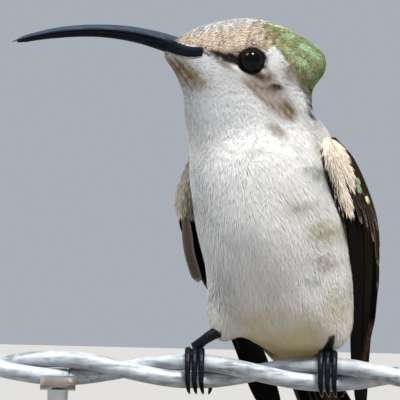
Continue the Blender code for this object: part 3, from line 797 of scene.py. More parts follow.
# Places are in millimetres ahead of and above the eye. A slope of 20 degrees rises towards the bill by that.
FACE_MARKINGS = [Marking(*row) for row in (
    # The breast_shade rows are painted shade: grey under the chin and throat, below the eye and behind it.
    ("breast_shade", 6.0, -4.5, 6.5, 3.0, 40, 0.75),
    ("ear", 2.3, 1.1, 1.9, 0.5, 4, 1.0),
    ("ear", -0.6, 1.85, 1.5, 0.3, -8, 0.9),
    ("ear", 5.4, 1.15, 0.9, 0.4, 10, 0.6),
    ("lores", 3.3, 0.4, 2.2, 0.75, 20, 1.0),
    ("breast_shade", -2.8, 0.3, 0.9, 1.3, -20, 0.6),
    ("lores", 2.2, 0.0, 0.8, 0.6, 0, 1.0),
    ("ear", 3.2, -0.65, 1.3, 0.35, 30, 0.9),
    ("breast_shade", 0.0, -2.6, 3.6, 1.1, 20, 0.45),
    ("ear", -1.5, -2.1, 1.7, 0.7, -8, 1.0),
    ("lores", -0.5, -1.75, 1.4, 0.4, 16, 0.95),
    ("ear", -1.8, -1.1, 0.4, 0.9, -35, 0.7),
    ("breast", 1.8, -0.95, 1.1, 0.26, 23, 1.0),
    ("breast", -2.7, 0.2, 0.75, 1.1, -20, 0.6),
    ("breast", -3.9, -1.75, 0.9, 0.8, 40, 0.8),
    ("ear", -4.8, -1.0, 1.0, 1.5, 20, 0.85),
    ("ear", -2.3, -3.1, 2.4, 1.2, 20, 0.45),
    ("ear", -3.2, -5.6, 2.2, 1.6, 42, 0.35),
    ("ear", 0.4, -2.4, 1.2, 0.45, 42, 0.75),
    ("lores", -2.95, -3.15, 0.9, 0.5, 5, 0.85),
    ("ear", -1.6, -3.3, 1.8, 0.4, 10, 0.7),
    ("ear", -0.9, -4.2, 2.8, 0.3, 39, 0.7),
    ("ear", -2.8, -4.9, 2.6, 1.2, 42, 0.6),
    ("neck", -4.6, -5.9, 0.95, 1.6, -12, 1.0),
    ("neck", -3.0, -8.6, 1.4, 0.7, 35, 0.75),
    ("breast", -6.1, -4.2, 1.6, 1.0, 42, 1.0),
    ("chin", 8.2, -1.4, 3.0, 1.25, 39, 1.0),
    ("chin", 6.6, -2.4, 1.7, 0.9, 39, 0.5),
)]
# On the body, the first two numbers are millimetres from the middle towards either side, and the height.
BODY_MARKINGS = [Marking(*row) for row in (
    ("flank", 8.4, 54.2, 1.1, 1.5, 0, 0.7),
    ("ear", 8.2, 50.3, 0.9, 1.2, 0, 0.55),
    # Painted shade: a grey spot low on the left flank, in breast_shade.
    ("breast_shade", 7.4, 48.0, 0.9, 0.9, 0, 0.7),
    ("ear", 7.0, 57.0, 1.3, 0.9, 20, 0.45),
    ("green", 8.6, 61.4, 0.9, 1.1, 0, 0.7),
    ("ear", 3.0, 63.5, 1.2, 0.6, 30, 0.25),
    ("flank", 8.9, 45.6, 0.7, 2.4, 0, 0.5),
)]
GREEN_EDGE = ((-9.0, -9.6), (-5.0, -8.2), (-3.9, -6.7), (-3.2, -6.1), (-2.3, -5.7), (-1.2, -5.05), (-0.3, -4.7),
              (0.6, -3.8), (1.4, -2.6), (2.3, -2.0), (5.3, -1.4))
CAP_EDGE = ((-4.0, 2.0), (-1.8, 1.35), (0.0, 1.62), (1.7, 1.1), (2.6, 0.85), (4.4, 0.85), (5.7, 1.25),
            (6.5, 1.5), (9.0, 1.9))
# TOP_EDGE: where the painted sheen on the crown's top begins, in millimetres above the eye, by place ahead of
# it.
TOP_EDGE = ((-3.0, 4.9), (-2.0, 4.6), (0.0, 4.2), (4.0, 3.5), (8.0, 3.3))


# Heights over which the neck turns from the body's front to the bill's, and over which the face's markings and
# the head's cap begin.
NECK_HEIGHTS = (62.0, 69.0)
FACE_FROM = (62.0, 65.0)
HEAD_FROM = (66.5, 69.0)


def facing(points):
    """How far the form faces the front, from 1 to -1: the body's front, and the bill's above the neck."""
    _, outwards = body_field(points)
    high = smooth_step(points[..., 2], *NECK_HEIGHTS)
    return -dot(outwards, BODY_AXES[1]) * (1 - high) + dot(outwards, BILL_WAY) * high


def zones(points, front):
    """Shares from 0 to 1: the brown and green cap, the green back, and the face's short coat."""
    ahead, above, out = beside_eye(points)
    height = points[..., 2]
    rough = ripple(points, 2.4, 3) * 0.3
    on_head = smooth_step(height, *HEAD_FROM)
    cap = smooth_step(above - read_table(CAP_EDGE, ahead) + rough * 0.5, -0.2, 0.3)
    behind = smooth_step(read_table(GREEN_EDGE, above) - ahead + rough, -0.3, 0.4)
    cap = np.maximum(cap * smooth_step(above, -0.6, 0.4), behind * smooth_step(above, -5.6, -4.4)) * on_head
    nape = smooth_step(points[..., 1], 1.4, 2.8)
    edge = -0.5 - 0.35 * smooth_step(height, 60.0, 66.0) * (1 - nape)
    back = smooth_step(edge - front + rough * 0.15, -0.1, 0.1) * (1 - cap)
    reach = np.hypot(ahead, above)
    face = (1 - smooth_step(reach, 2.6, 4.6)) * smooth_step(out, -3.0, -1.0)
    bridge = smooth_step(ahead, 5.0, 7.5) * smooth_step(above, -1.0, 0.2)
    return cap, back, np.maximum(face, bridge)


def marking_share(spot, first, second):
    """How strong a marking is at each point: a soft-edged oval about its middle, turned by its slope."""
    slope = math.radians(spot.slope)
    along = (first - spot.ahead) * math.cos(slope) + (second - spot.above) * math.sin(slope)
    beside = -(first - spot.ahead) * math.sin(slope) + (second - spot.above) * math.cos(slope)
    reach = (along / spot.half_long) ** 2 + (beside / spot.half_high) ** 2
    return spot.strength * np.exp(-(reach**1.4))


def setting_names(group):
    """The names of a group's own settings, without the ones that Blender adds."""
    return [key for key in group.bl_rna.properties.keys() if key not in ("rna_type", "name")]


def plumage_tones():
    """Each colour of the plumage by its name."""
    colours = bpy.context.scene.hummingbird_colours
    return {key: np.array(getattr(colours, key)) for key in setting_names(colours)}


def plumage_at(points):
    """The plumage's middle colour, edge colour and shine at each point. Colours are laid over each other:
    white with painted shade, the belly's buff, the flanks' spots, the markings, the eye's rim, the cap with a
    painted sheen on its top, and the back."""
    tone = plumage_tones()

    def lay(under, over, share):
        return under + (over - under) * share[..., None]

    ahead, above, out = beside_eye(points)
    height = points[..., 2]
    front = facing(points)
    cap, back, _ = zones(points, front)
    blank = np.zeros(points.shape)
    # Painted shade: the breast_shade grey is laid in soft patches over the breast, and more strongly over the
    # throat and head from 63 to 69 mm up, where they lie in shadow.
    painted_shade = smooth_step(ripple(points, 6.0, 11) + 0.4 * ripple(points, 2.0, 12), 0.0, 1.6)
    painted_shade = 0.3 * painted_shade + 0.5 * smooth_step(height, 63.0, 69.0)
    middle = lay(blank + tone["breast"], tone["breast_shade"], painted_shade)
    low = smooth_step(46.5 + ripple(points, 4.0, 5) * 0.8 - height, 0.0, 7.0)
    for thigh in ("left thigh", "right thigh"):
        low = low * (1 - 0.85 * np.exp(-(np.linalg.norm(points - centre_of(thigh), axis=-1) / 3.0) ** 4))
    middle = lay(middle, tone["belly"], low)
    side = smooth_step(-front, -0.15, 0.5) * smooth_step(66.0 - height, 0.0, 3.0)
    spots = smooth_step(ripple(points, 3.6, 21) + 0.6 * side, 0.1, 1.2)
    middle = lay(middle, tone["flank"], 0.8 * side * spots)
    lateral = np.abs(dot(points - centre_of("trunk"), LEFT))
    streaky = 1.0 + 0.4 * ripple(points, 1.1, 22)
    for spot in BODY_MARKINGS:
        middle = lay(middle, tone[spot.colour], np.clip(marking_share(spot, lateral, height) * streaky, 0, 1))

    off_middle = smooth_step(out + EYE_ASIDE, 1.2, 3.0) * smooth_step(height, *FACE_FROM)
    mottle = np.clip(0.9 + 0.3 * ripple(points, 0.8, 23), 0.3, 1.15)
    for spot in FACE_MARKINGS:
        share = marking_share(spot, ahead, above) * smooth_step(height, *FACE_FROM)
        share = share * (mottle if spot.colour == "chin" else off_middle * (0.35 + 0.65 * mottle))
        share = share * (1.4 if spot.colour == "lores" else 1.0)
        middle = lay(middle, tone[spot.colour], np.clip(share, 0, 1))
    rim = 1 - smooth_step(np.hypot((ahead - 0.05) / 1.98, above / 1.66), 0.93, 1.05)
    middle = lay(middle, tone["flight"], rim * smooth_step(out, -2.5, -1.5))
    edge = middle.copy()

    # Painted sheen: the crown's top is laid with the paler crown_top grey, and its feather edges with a still
    # paler grey, where light from above falls on it.
    top = smooth_step(above - read_table(TOP_EDGE, ahead) + 0.3 * ripple(points, 1.2, 34), -0.7, 0.7)
    brown = lay(blank + tone["cap"], tone["crown_top"], 0.75 * top)
    brown_edge = lay(blank + tone["cap_edge"], tone["crown_top"] * 1.25, top)
    near_eye = smooth_step(1.0 - (above - read_table(CAP_EDGE, ahead)), 0.3, 1.0)
    brown_edge = lay(brown_edge, tone["ear"], 0.6 * near_eye)
    glint = smooth_step(ripple(points, 1.9, 31), -0.5, 1.1)
    rear = smooth_step(-ahead + 0.5 * above, 3.6, 7.0) * cap
    leaf = lay(blank + tone["bronze"], tone["green"], 0.15 + 0.85 * np.maximum(glint, 0.7 * rear))
    leaf = lay(leaf, tone["mint"], rear * (0.3 + 0.7 * glint))
    leaf_edge = lay(blank + tone["green_edge"], tone["green"] * 1.5, 0.35 * glint)
    leaf_edge = lay(leaf_edge, tone["mint"] * 1.15, rear * (0.25 + 0.75 * glint))
    beyond = read_table(GREEN_EDGE, above) - ahead + 1.1 * ripple(points, 0.9, 32)
    mixed = smooth_step(beyond, -1.8, 1.8) * smooth_step(height, *HEAD_FROM)
    cap_middle = lay(brown, leaf, mixed)
    cap_edge = lay(brown_edge, leaf_edge, mixed)
    crest = smooth_step(above - 0.35 * ahead, 4.9, 5.5) * smooth_step(-ahead, 0.2, 1.0)
    crest = crest * smooth_step(ahead, -4.8, -4.0)
    cap_edge = lay(cap_edge, tone["tips"], crest * smooth_step(ripple(points, 0.7, 33), 0.2, 0.7))
    middle = lay(lay(middle, cap_middle, cap), leaf, back)
    edge = lay(lay(edge, cap_edge, cap), leaf_edge, back)
    shine = np.maximum(mixed * cap, back) * (0.35 + 0.65 * glint)
    return middle, edge, shine


# The coat.

COAT = {}
# How much more a barb is lit as the coat it lies in than as the barb itself.
COAT_LIGHT = 1.2
# A barb: its three points' shares of its length, its width at the first two, and its three-sided ring, across
# and up in shares of the width.
BARB_SHARES = np.array((0.0, 0.5, 1.0))
BARB_WIDTHS = np.array((0.7, 1.0))
BARB_ACROSS = np.array((-0.5, 0.5, 0.0))
BARB_UP = np.array((0.0, 0.0, 0.12))
# A small vane: its points' shares of its length, its width at the inner four, and its five-sided ring, across
# in shares of half its width and up in shares of its thickness.
VANE_SHARES = np.array((0.0, 0.2, 0.5, 0.78, 0.94, 1.0))
VANE_SWELL = np.array((0.6, 1.0, 0.95, 0.6))
VANE_ACROSS = np.array((-1.0, -0.45, 0.45, 1.0, 0.0))
VANE_UP = np.array((-0.5, 0.6, 0.6, -0.5, -0.8))


def forehead_dip(points):
    """How much lower the coat lies in a shallow hollow of the forehead above the bill's root."""
    ahead, above, _ = beside_eye(points)
    return 0.5 * np.exp(-((ahead - 8.4) / 1.15) ** 2) * smooth_step(above, 2.0, 3.0)


def coat_grid():
    """The skin's grid, made once: its points, the lie of the coat over it, and each cell's area."""
    if not COAT:
        place = np.linspace(PLACE_FIRST, PLACE_FIRST + PLACE_SPAN, SKIN_RINGS + 2)[1:-1]
        turn = circle(SKIN_SIDES)
        places, turns = np.meshgrid(place, turn, indexing="ij")
        points = body_points(places, turns, -coat_depth(places))
        points = body_points(places, turns, -coat_depth(places) - forehead_dip(points))
        onward = np.gradient(points, axis=0)
        aside = (np.roll(points, -1, axis=1) - np.roll(points, 1, axis=1)) / 2
        COAT.update(place=place, points=points, lie=unit(-onward),
                    area=np.linalg.norm(np.cross(onward, aside), axis=-1))
    return COAT


def read_grid(values, row, column):
    """A grid's values read between its points, round and round across its columns."""
    low_row = np.clip(row.astype(int), 0, SKIN_RINGS - 2)
    low_column = column.astype(int)
    down = (row - low_row)[:, None]
    over = (column - low_column)[:, None]
    this, onward = low_column % SKIN_SIDES, (low_column + 1) % SKIN_SIDES
    first = values[low_row, this] * (1 - over) + values[low_row, onward] * over
    second = values[low_row + 1, this] * (1 - over) + values[low_row + 1, onward] * over
    return first * (1 - down) + second * down


def scatter(count, density, seed):
    """Roots spread evenly over the skin's area times a density, with the lie and the map place at each.

    The cells' shares are added up into one running total, and evenly spread numbers are read back from it."""
    grid = coat_grid()
    share = grid["area"] * density
    row_total = np.cumsum(share.sum(axis=1))
    cell_total = np.cumsum(share.ravel())
    first, second = spread_numbers(count, seed)
    row = np.searchsorted(row_total, first * row_total[-1])
    row = np.minimum(row, SKIN_RINGS - 1)
    before = np.where(row > 0, row_total[row - 1], 0.0)
    within = row_total[row] - before
    cell = np.searchsorted(cell_total, before + second * within * 0.999999)
    column = np.clip(cell - row * SKIN_SIDES, 0, SKIN_SIDES - 1)
    edge = cell_total[cell] - share.ravel()[cell]
    over = (before + second * within - edge) / (share.ravel()[cell] + 1e-12)
    down = (first * row_total[-1] - before) / (within + 1e-12)
    row = np.clip(row + down - 0.5, 0, SKIN_RINGS - 1.001)
    column = column + np.clip(over, 0, 1) - 0.5 + SKIN_SIDES
    points = read_grid(grid["points"], row, column)
    lie = unit(read_grid(grid["lie"], row, column))
    place = np.interp(row, np.arange(SKIN_RINGS), grid["place"])
    spot = np.stack(((column % SKIN_SIDES) / SKIN_SIDES, (place - PLACE_FIRST) / PLACE_SPAN), axis=-1)
    return points, lie, place, spot


def keep_roots(found, keep):
    return tuple(values[keep] for values in found)


def turned_way(way, aside, turn):
    """Ways turned by an angle towards others that are square to them."""
    return unit(way * np.cos(turn)[:, None] + aside * np.sin(turn)[:, None])


def flow_lie(points, lie):
    """Bends the lie: outwards over the upper breast, and a little unevenly everywhere."""
    _, outwards = body_field(points)
    aside = unit(np.cross(outwards, lie))
    bend = 0.12 * ripple(points, 6.0, 41) + 0.06 * ripple(points, 2.0, 42)
    breast = smooth_step(points[..., 2], 50.0, 58.0) * (1 - smooth_step(points[..., 2], 63.0, 70.0))
    bend = bend + 0.35 * breast * np.clip(dot(points, LEFT) / 6.0, -1, 1) * np.sign(dot(aside, LEFT))
    lie = turned_way(lie, aside, bend)
    return lie, outwards, unit(np.cross(outwards, lie))


def feather_path(roots, ways, length, share, depth, lift):
    """Points along feathers: out along the lie, from the skin up to near the coat's surface, off the eyes."""
    reach = length[:, None] * share
    path = roots[:, None] + ways[:, None] * reach[..., None]
    level = -depth[:, None] + (depth + lift)[:, None] * share**0.7 - forehead_dip(roots)[:, None]
    path = to_level(path, level)
    path = clear_of_eyes(path)
    return to_level(path, level)


def path_axes(path, outwards):
    """The ways across and up at each point of paths that lie on a surface."""
    onward = unit(np.gradient(path, axis=1))
    aside = unit(np.cross(outwards[:, None], onward))
    return aside, np.cross(onward, aside)


def barb_rings(path, outwards, width):
    """Thin three-sided barbs along paths of three points, and the way each point of a path faces."""
    aside, rise = path_axes(path, outwards)
    size = (width[:, None] * BARB_WIDTHS)[..., None]
    rings = (path[:, :2, None] + aside[:, :2, None] * (size * BARB_ACROSS)[..., None]
             + rise[:, :2, None] * (size * BARB_UP)[..., None])
    return rings, rise


def add_barb_piece(name, path, outwards, width, spot, paint, shine, look, slot):
    """One piece of barbs. The paint is given at each barb's root, middle and tip. A barb is lit mostly as the
    coat it lies in, because down lets the light through."""
    count = len(path)
    rings, rise = barb_rings(path, outwards, width)
    ways = unit(outwards[:, None] * COAT_LIGHT + rise * np.sign(dot(rise, outwards[:, None]))[..., None])
    normals = spread_to_vertices(np.broadcast_to(ways[:, :2, None], rings.shape), (ways[:, 0], ways[:, 2]))
    shades = spread_to_vertices(np.broadcast_to(paint[:, :2, None], (count, 2, 3, 3)),
                                (paint[:, 0], paint[:, 2]))
    glow = spread_to_vertices(np.broadcast_to(shine[:, None, None], (count, 2, 3)), (shine, shine))
    patch = np.stack(np.meshgrid((0.0, 0.5), (0.0, 1.0, 0.5), indexing="ij")[::-1], axis=-1) * TUFT_PATCH
    uv = spread_to_vertices(spot[:, None, None] + patch[None], (spot, spot + TUFT_PATCH))
    add_piece(name, joined_solids(rings, path[:, 0] - outwards * 0.02, path[:, 2]), look, slot, uv=uv,
              colours=shades, floats={"shine": glow}, normals=normals)


def vane_solids(roots, ways, outwards, length, width, depth, lift, thickness):
    """Small rounded vanes, slightly domed across, as flat five-sided rings along the feather."""
    path = feather_path(roots, ways, length, VANE_SHARES, depth, lift)
    aside, rise = path_axes(path, outwards)
    inner = slice(1, 5)
    half = (width[:, None] * VANE_SWELL / 2)[..., None] * VANE_ACROSS
    height = thickness * (VANE_UP - 0.8 * VANE_ACROSS**2)
    rings = (path[:, inner, None] + aside[:, inner, None] * half[..., None]
             + rise[:, inner, None] * np.broadcast_to(height, half.shape)[..., None])
    rim = np.maximum(np.abs(VANE_ACROSS)[None, :] ** 2, (VANE_SHARES[inner, None]) ** 3) * 0.9
    return rings, path[:, 0], path[:, 5], rim


def fan_out(found, fans, per_fan, spread, seed):
    """Repeats each root for its barbs, and gives each barb its turn from the lie and its random numbers."""
    random = np.random.default_rng(seed)
    step = np.tile(np.linspace(-1, 1, per_fan), fans)
    turn = step * spread + random.normal(0, 0.07, step.shape)
    chance = random.uniform(0, 1, (len(step), 3))
    return tuple(np.repeat(values, per_fan, axis=0) for values in found), step, turn, chance


def streaks(spot):
    """A soft unevenness drawn out along the coat: ripples on the unwrapped skin."""
    turn = spot[:, 0] * 2 * math.pi
    drawn = np.stack((8.0 * np.cos(turn), 8.0 * np.sin(turn), spot[:, 1] * 80.0 / 7), axis=-1)
    return 0.6 * ripple(drawn, 1.6, 52) + 0.4 * ripple(drawn, 0.7, 53)


def add_barbs(name, found, per_fan, length, spread, width, lift, seed, look, slot, mottle=0.03):
    """One piece of tufts: each tuft is a fan of barbs, painted with the markings at its root. Where the edge
    colour differs, it shows at the tips and at the fan's sides."""
    fans = len(found[0])
    (points, lie, place, spot), step, turn, chance = fan_out(found, fans, per_fan, spread, seed)
    length = np.repeat(length, per_fan)
    lie, outwards, aside = flow_lie(points, lie)
    points = points + aside * (step * 2.2 * width + (chance[:, 2] - 0.5) * 2 * width)[:, None]
    ways = turned_way(lie, aside, turn)
    length = length * (0.8 + 0.35 * chance[:, 0]) * (1 - 0.12 * step**2)
    lump = 0.5 + 0.5 * streaks(spot)
    rise = lift * (0.3 + 0.7 * chance[:, 1]) * (0.5 + 0.6 * lump)
    path = feather_path(points, ways, length, BARB_SHARES, coat_depth(place), rise)
    middle, edge, shine = plumage_at(points + ways * length[:, None] * 0.6)
    tuft = np.repeat(chance[::per_fan, 2] - 0.5, per_fan)
    tone = (0.975 + 0.03 * chance[:, 0] + 0.035 * streaks(spot) + mottle * tuft)[:, None]
    mixed = middle + (edge - middle) * (0.25 + 0.5 * step**2)[:, None]
    paint = np.stack((middle * 0.93, mixed * 0.97, edge), axis=1) * tone[:, None]
    clear = ~in_bill(path[:, 2], 0.05)
    width = width * (0.75 + 0.5 * chance[:, 2])
    parts = (part[clear] for part in (path, outwards, width, spot, paint, shine * 0.6))
    add_barb_piece(name, *parts, look, slot)


def add_vanes(name, found, length, width_share, lift, seed, look, slot, thickness=0.03):
    """One piece of small vanes, painted with the markings: darker in the middle, paler at the rim."""
    points, lie, place, spot = found
    random = np.random.default_rng(seed)
    chance = random.uniform(0, 1, (len(points), 3))
    lie, outwards, aside = flow_lie(points, lie)
    turn = random.normal(0, 0.2, len(points))
    ways = turned_way(lie, aside, turn)
    length = length * (0.8 + 0.4 * chance[:, 0])
    rise = lift * (0.2 + 0.8 * chance[:, 1])
    rings, starts, ends, rim = vane_solids(points, ways, outwards, length, length * width_share,
                                           coat_depth(place), rise, thickness)
    clear = ~in_bill(ends, 0.02)
    rings, starts, ends, spot, chance = (part[clear] for part in (rings, starts, ends, spot, chance))
    middle, edge, shine = plumage_at(ends)
    tone = (0.75 + 0.5 * chance[:, 0])[:, None]
    middle, edge = middle * tone, edge * tone
    paint = middle[:, None, None] + (edge - middle)[:, None, None] * rim[None, ..., None]
    paint = spread_to_vertices(paint, (middle * 0.8, edge))
    glow = spread_to_vertices(shine[:, None, None] * (1 - 0.6 * rim)[None], (shine, shine * 0.3))
    patch = np.stack(np.meshgrid(np.linspace(0, 1, 4), np.linspace(0, 1, 5), indexing="ij")[::-1], axis=-1)
    spots = spot[:, None, None] + patch[None] * TUFT_PATCH
    uv = spread_to_vertices(spots, (spot, spot + TUFT_PATCH))
    add_piece(name, joined_solids(rings, starts, ends), look, slot, uv=uv, colours=paint,
              floats={"shine": glow})


def add_skin():
    """One closed skin from the vent to the bill's root, at the coat's depth under the body's form."""
    grid = coat_grid()
    points = grid["points"]
    shape = one_solid(points)
    middle, _, shine = plumage_at(shape[0])
    columns, rows = np.meshgrid(np.arange(SKIN_SIDES) / SKIN_SIDES,
                                (grid["place"] - PLACE_FIRST) / PLACE_SPAN)
    uv = np.concatenate((np.stack((columns, rows), axis=-1).reshape(-1, 2), ((0.5, 0.0), (0.5, 1.0))))
    add_piece("body_skin", shape, "soft plumage", "breast_plumage", uv=uv, colours=middle * 0.9,
              floats={"shine": shine * 0.5}, replaces=("trunk", "neck", "head", "thigh_left", "thigh_right"))


def split_by_height(found, parts):
    """Roots in bands of height with the same number in each."""
    order = np.argsort(found[0][:, 2])
    return [keep_roots(found, chosen) for chosen in np.array_split(order, parts)]


def coat_zones():
    """The zones over the skin's grid, and its heights."""
    points = coat_grid()["points"]
    return (*zones(points, facing(points)), points[..., 2])


def off_bare_skin(found):
    """The roots that are outside the lids, the bill and the gape."""
    ahead, above, out = beside_eye(found[0])
    outside = (np.hypot(ahead, above) > LID_OPENING + 0.02) | (out < 0)
    return keep_roots(found, outside & ~in_bill(found[0], 0.0))


def add_breast_coat():
    """Long soft barbs over breast, belly and flanks, in bands of height."""
    sizes = bpy.context.scene.hummingbird_sizes
    _, back, _, height = coat_zones()
    found = scatter(sizes.breast_fans, (1 - smooth_step(height, 62.0, 68.0)) * (1 - back), 1)
    for k, band in enumerate(split_by_height(found, 4)):
        high = smooth_step(band[0][:, 2], 56.0, 66.0)
        length = (sizes.breast_barb * (1 - 0.3 * high)) / MM
        add_barbs("breast_coat_%d" % (k + 1), band, 10, length, 0.2, sizes.barb_width / MM, 0.14, 60 + k,
                  "soft plumage", "breast_plumage")


def add_throat_coat():
    """Shorter barbs over throat, cheeks and neck, and the shortest beside the eyes and the bill."""
    sizes = bpy.context.scene.hummingbird_sizes
    cap, back, face, height = coat_zones()
    density = smooth_step(height, 60.0, 67.0) * (1 - back) * (1 - cap**3) * (1 - 0.85 * face)
    found = off_bare_skin(scatter(sizes.throat_fans, density, 2))
    for k, band in enumerate(split_by_height(found, 2)):
        high = smooth_step(band[0][:, 2], 64.0, 73.0)
        length = sizes.throat_barb * (1.45 - 0.6 * high) / MM
        add_barbs("throat_coat_%d" % (k + 1), band, 8, length, 0.18, sizes.barb_width * 0.8 / MM, 0.06, 70 + k,
                  "soft plumage", "breast_plumage")
    found = off_bare_skin(scatter(sizes.face_fans, face * (1 - cap**3), 3))
    length = np.full(len(found[0]), sizes.face_barb / MM)
    add_barbs("face_coat", found, 7, length, 0.24, sizes.barb_width * 0.62 / MM, 0.04, 80, "soft plumage",
              "breast_plumage")


def add_cap_coat():
    """Short broad tufts over forehead and crown, in two pieces: each tuft reads as one small feather."""
    sizes = bpy.context.scene.hummingbird_sizes
    cap = smooth_step(coat_zones()[0], 0.2, 0.7)
    found = off_bare_skin(scatter(sizes.cap_fans, cap, 4))
    front = beside_eye(found[0])[0] > 0.6
    for name, chosen, mottle in (("forehead_coat", front, 0.8), ("crown_coat", ~front, 1.0)):
        band = keep_roots(found, chosen)
        ahead, above, _ = beside_eye(band[0])
        small = smooth_step(ahead, -2.0, 7.0)
        near = 1 - smooth_step(np.hypot(ahead, above), 1.6, 3.4)
        length = sizes.cap_barb * (1.1 - 0.35 * small - 0.3 * near) / MM
        add_barbs(name, band, 8, length, 0.42, sizes.barb_width * 1.15 / MM, 0.07, 90, "sleek plumage",
                  "crown_plumage", mottle)


def add_back_coat():
    """Bronze-green vanes over nape, mantle, back and rump, and none where the neck's front half shows."""
    sizes = bpy.context.scene.hummingbird_sizes
    back = smooth_step(coat_zones()[1], 0.3, 0.6)
    points = coat_grid()["points"]
    back = back * (1 - smooth_step(points[..., 2], 62.0, 64.0) * (1 - smooth_step(points[..., 1], 2.0, 3.0)))
    found = scatter(sizes.back_vanes, back, 5)
    low = 1 - smooth_step(found[0][:, 2], 44.0, 66.0)
    length = sizes.back_vane * (0.6 + 0.5 * low) / MM
    add_vanes("back_coat", found, length, 0.66, 0.12, 91, "sleek plumage", "crown_plumage", 0.04)


# Eyes, bill and gape.


def revolve(axis, first, second, angles, turns):
    """Unit vectors at angles from an axis and turns about it."""
    angles, turns = np.meshgrid(angles, turns, indexing="ij")
    round_axis = np.cos(turns)[..., None] * first + np.sin(turns)[..., None] * second
    return axis * np.cos(angles)[..., None] + round_axis * np.sin(angles)[..., None], angles


def add_eyes():
    """Each eye is a ball with a slight bulge for the cornea, in a lid."""
    turns = circle(64)
    for side, sign in SIDES.items():
        axis = HEAD_LEFT * sign
        centre = eye_centre(sign)
        ways, angles = revolve(axis, BILL_WAY, UP, np.linspace(0, math.pi, 42)[1:-1], turns)
        radius = EYE_RADIUS * (1 - CORNEA_BULGE * smooth_step(angles, 0.5, 1.3))
        rings = centre + ways * radius[..., None]
        ball = one_solid(rings, centre + axis * EYE_RADIUS, centre - axis * EYE_RADIUS)
        turn = spread_to_vertices(angles[None], (np.zeros(1), np.full(1, math.pi)))
        add_piece("eyeball_" + side, ball, "eye", "eye", floats={"from_axis": turn}, replaces=("eye_" + side,))
        add_lid(side, axis, centre, turns)


def add_lid(side, axis, centre, turns):
    """A round-edged fold on the ball along its opening, drawn out to a corner in front."""
    corner = np.exp(-(np.minimum(turns, 2 * math.pi - turns) / 0.22) ** 2)
    rear = np.exp(-((turns - math.pi) / 0.3) ** 2)
    opening = math.asin(LID_SINE) + 0.12 * corner + 0.03 * rear
    middle = axis * np.cos(opening)[:, None] + (BILL_WAY * np.cos(turns)[:, None]
                                                + UP * np.sin(turns)[:, None]) * np.sin(opening)[:, None]
    across = unit(np.cross(np.cross(middle, axis), middle))
    fold = circle(14)
    size = LID_WIDTH + 0.01 * np.sin(turns * 9) + 0.3 * corner + 0.05 * rear
    height = (EYE_RADIUS * LID_SEAT + LID_THICKNESS * np.sin(fold))[None, :, None]
    outer = np.where(np.cos(fold) > 0, np.cos(fold) * size[:, None], np.cos(fold) * 0.12)
    rings = centre + middle[:, None] * height - across[:, None] * outer[..., None]
    vertices, quads = closed_tube(rings)
    add_piece("lid_" + side, (vertices, quads, np.zeros((0, 3), int)), "lid", "leg_skin")


def closed_tube(rings):
    """A ring-shaped tube: the last ring joins the first. Faces point outwards."""
    count, sides = rings.shape[:2]
    i = np.arange(count)[:, None]
    k = np.arange(sides)[None, :]
    quads = np.stack((i * sides + k, i * sides + (k + 1) % sides, (i + 1) % count * sides + (k + 1) % sides,
                      (i + 1) % count * sides + k), axis=-1).reshape(-1, 4)
    vertices = rings.reshape(-1, 3)
    hub = vertices[quads[0]].mean(axis=0) - rings[0].mean(axis=0)
    corners = vertices[quads[0]]
    if np.dot(np.cross(corners[1] - corners[0], corners[2] - corners[0]), hub) < 0:
        quads = quads[:, ::-1]
    return vertices, quads


def bill_frame(share):
    """The middle of the bill's arc at shares from its root, and the way across its curve."""
    along = BILL_ROOT + (BILL_TIP - BILL_ROOT) * share
    bend = np.where(along > 0, BILL_BEND_RADII["root"], BILL_BEND_RADII["tip"])
    middle = (BILL_CROWN - BILL_WAY * along[..., None]) - UP * (along**2 / (2 * bend))[..., None]
    return middle, unit(UP - BILL_WAY * (along / bend)[..., None])


def add_bill():
    """Each half of the bill: a half oval along an arc, ridged on top, its edges meeting in a fine line."""
    for name, sign, last in (("upper_mandible", 1, 1.0), ("lower_mandible", -1, 0.975)):
        share = np.linspace(0, last, 90) ** 0.9 * last**0.1
        middle, rise = bill_frame(share)
        half = read_table(BILL_HALF_HEIGHTS, share)
        turn = circle(28)
        side = np.cos(turn)
        lift = np.where(np.sin(turn) > 0, np.sin(turn), 0.05 * np.sin(turn))
        ridge = 0.05 * np.exp(-((turn - math.pi / 2) / 0.35) ** 2)
        groove = 0.015 * np.exp(-((np.abs(turn - math.pi / 2) - 0.95) / 0.16) ** 2)
        height = (half[:, None] * (lift + ridge - groove) * (0.985 if sign > 0 else 0.97) + 0.015) * sign
        width = half[:, None] * BILL_WIDTH_TO_HEIGHT * side * (1.0 if sign > 0 else 0.94)
        rings = (middle[:, None] + HEAD_LEFT * width[..., None] + rise[:, None] * height[..., None])
        end = rings[-1].mean(axis=0) + (rings[-1] - rings[-2]).mean(axis=0) * 0.5
        node = "bill_upper" if sign > 0 else "bill_lower"
        # Painted sheen: the upper mandible's top is marked for horn_look to paint the paler blue-grey of a sky
        # reflection.
        zinc_bloom_and_bill_sheen = smooth_step(np.sin(turn), 0.2, 0.75) * max(sign, 0) + 0 * share[:, None]
        zinc_bloom_and_bill_sheen = spread_to_vertices(zinc_bloom_and_bill_sheen[None], (np.zeros(1), np.zeros(1)))
        add_piece(name, one_solid(rings, end=end), "bill horn", "bill_horn", floats={"crest": zinc_bloom_and_bill_sheen},
                  replaces=(node,))
    for side, sign in SIDES.items():
        add_gape(side, sign)


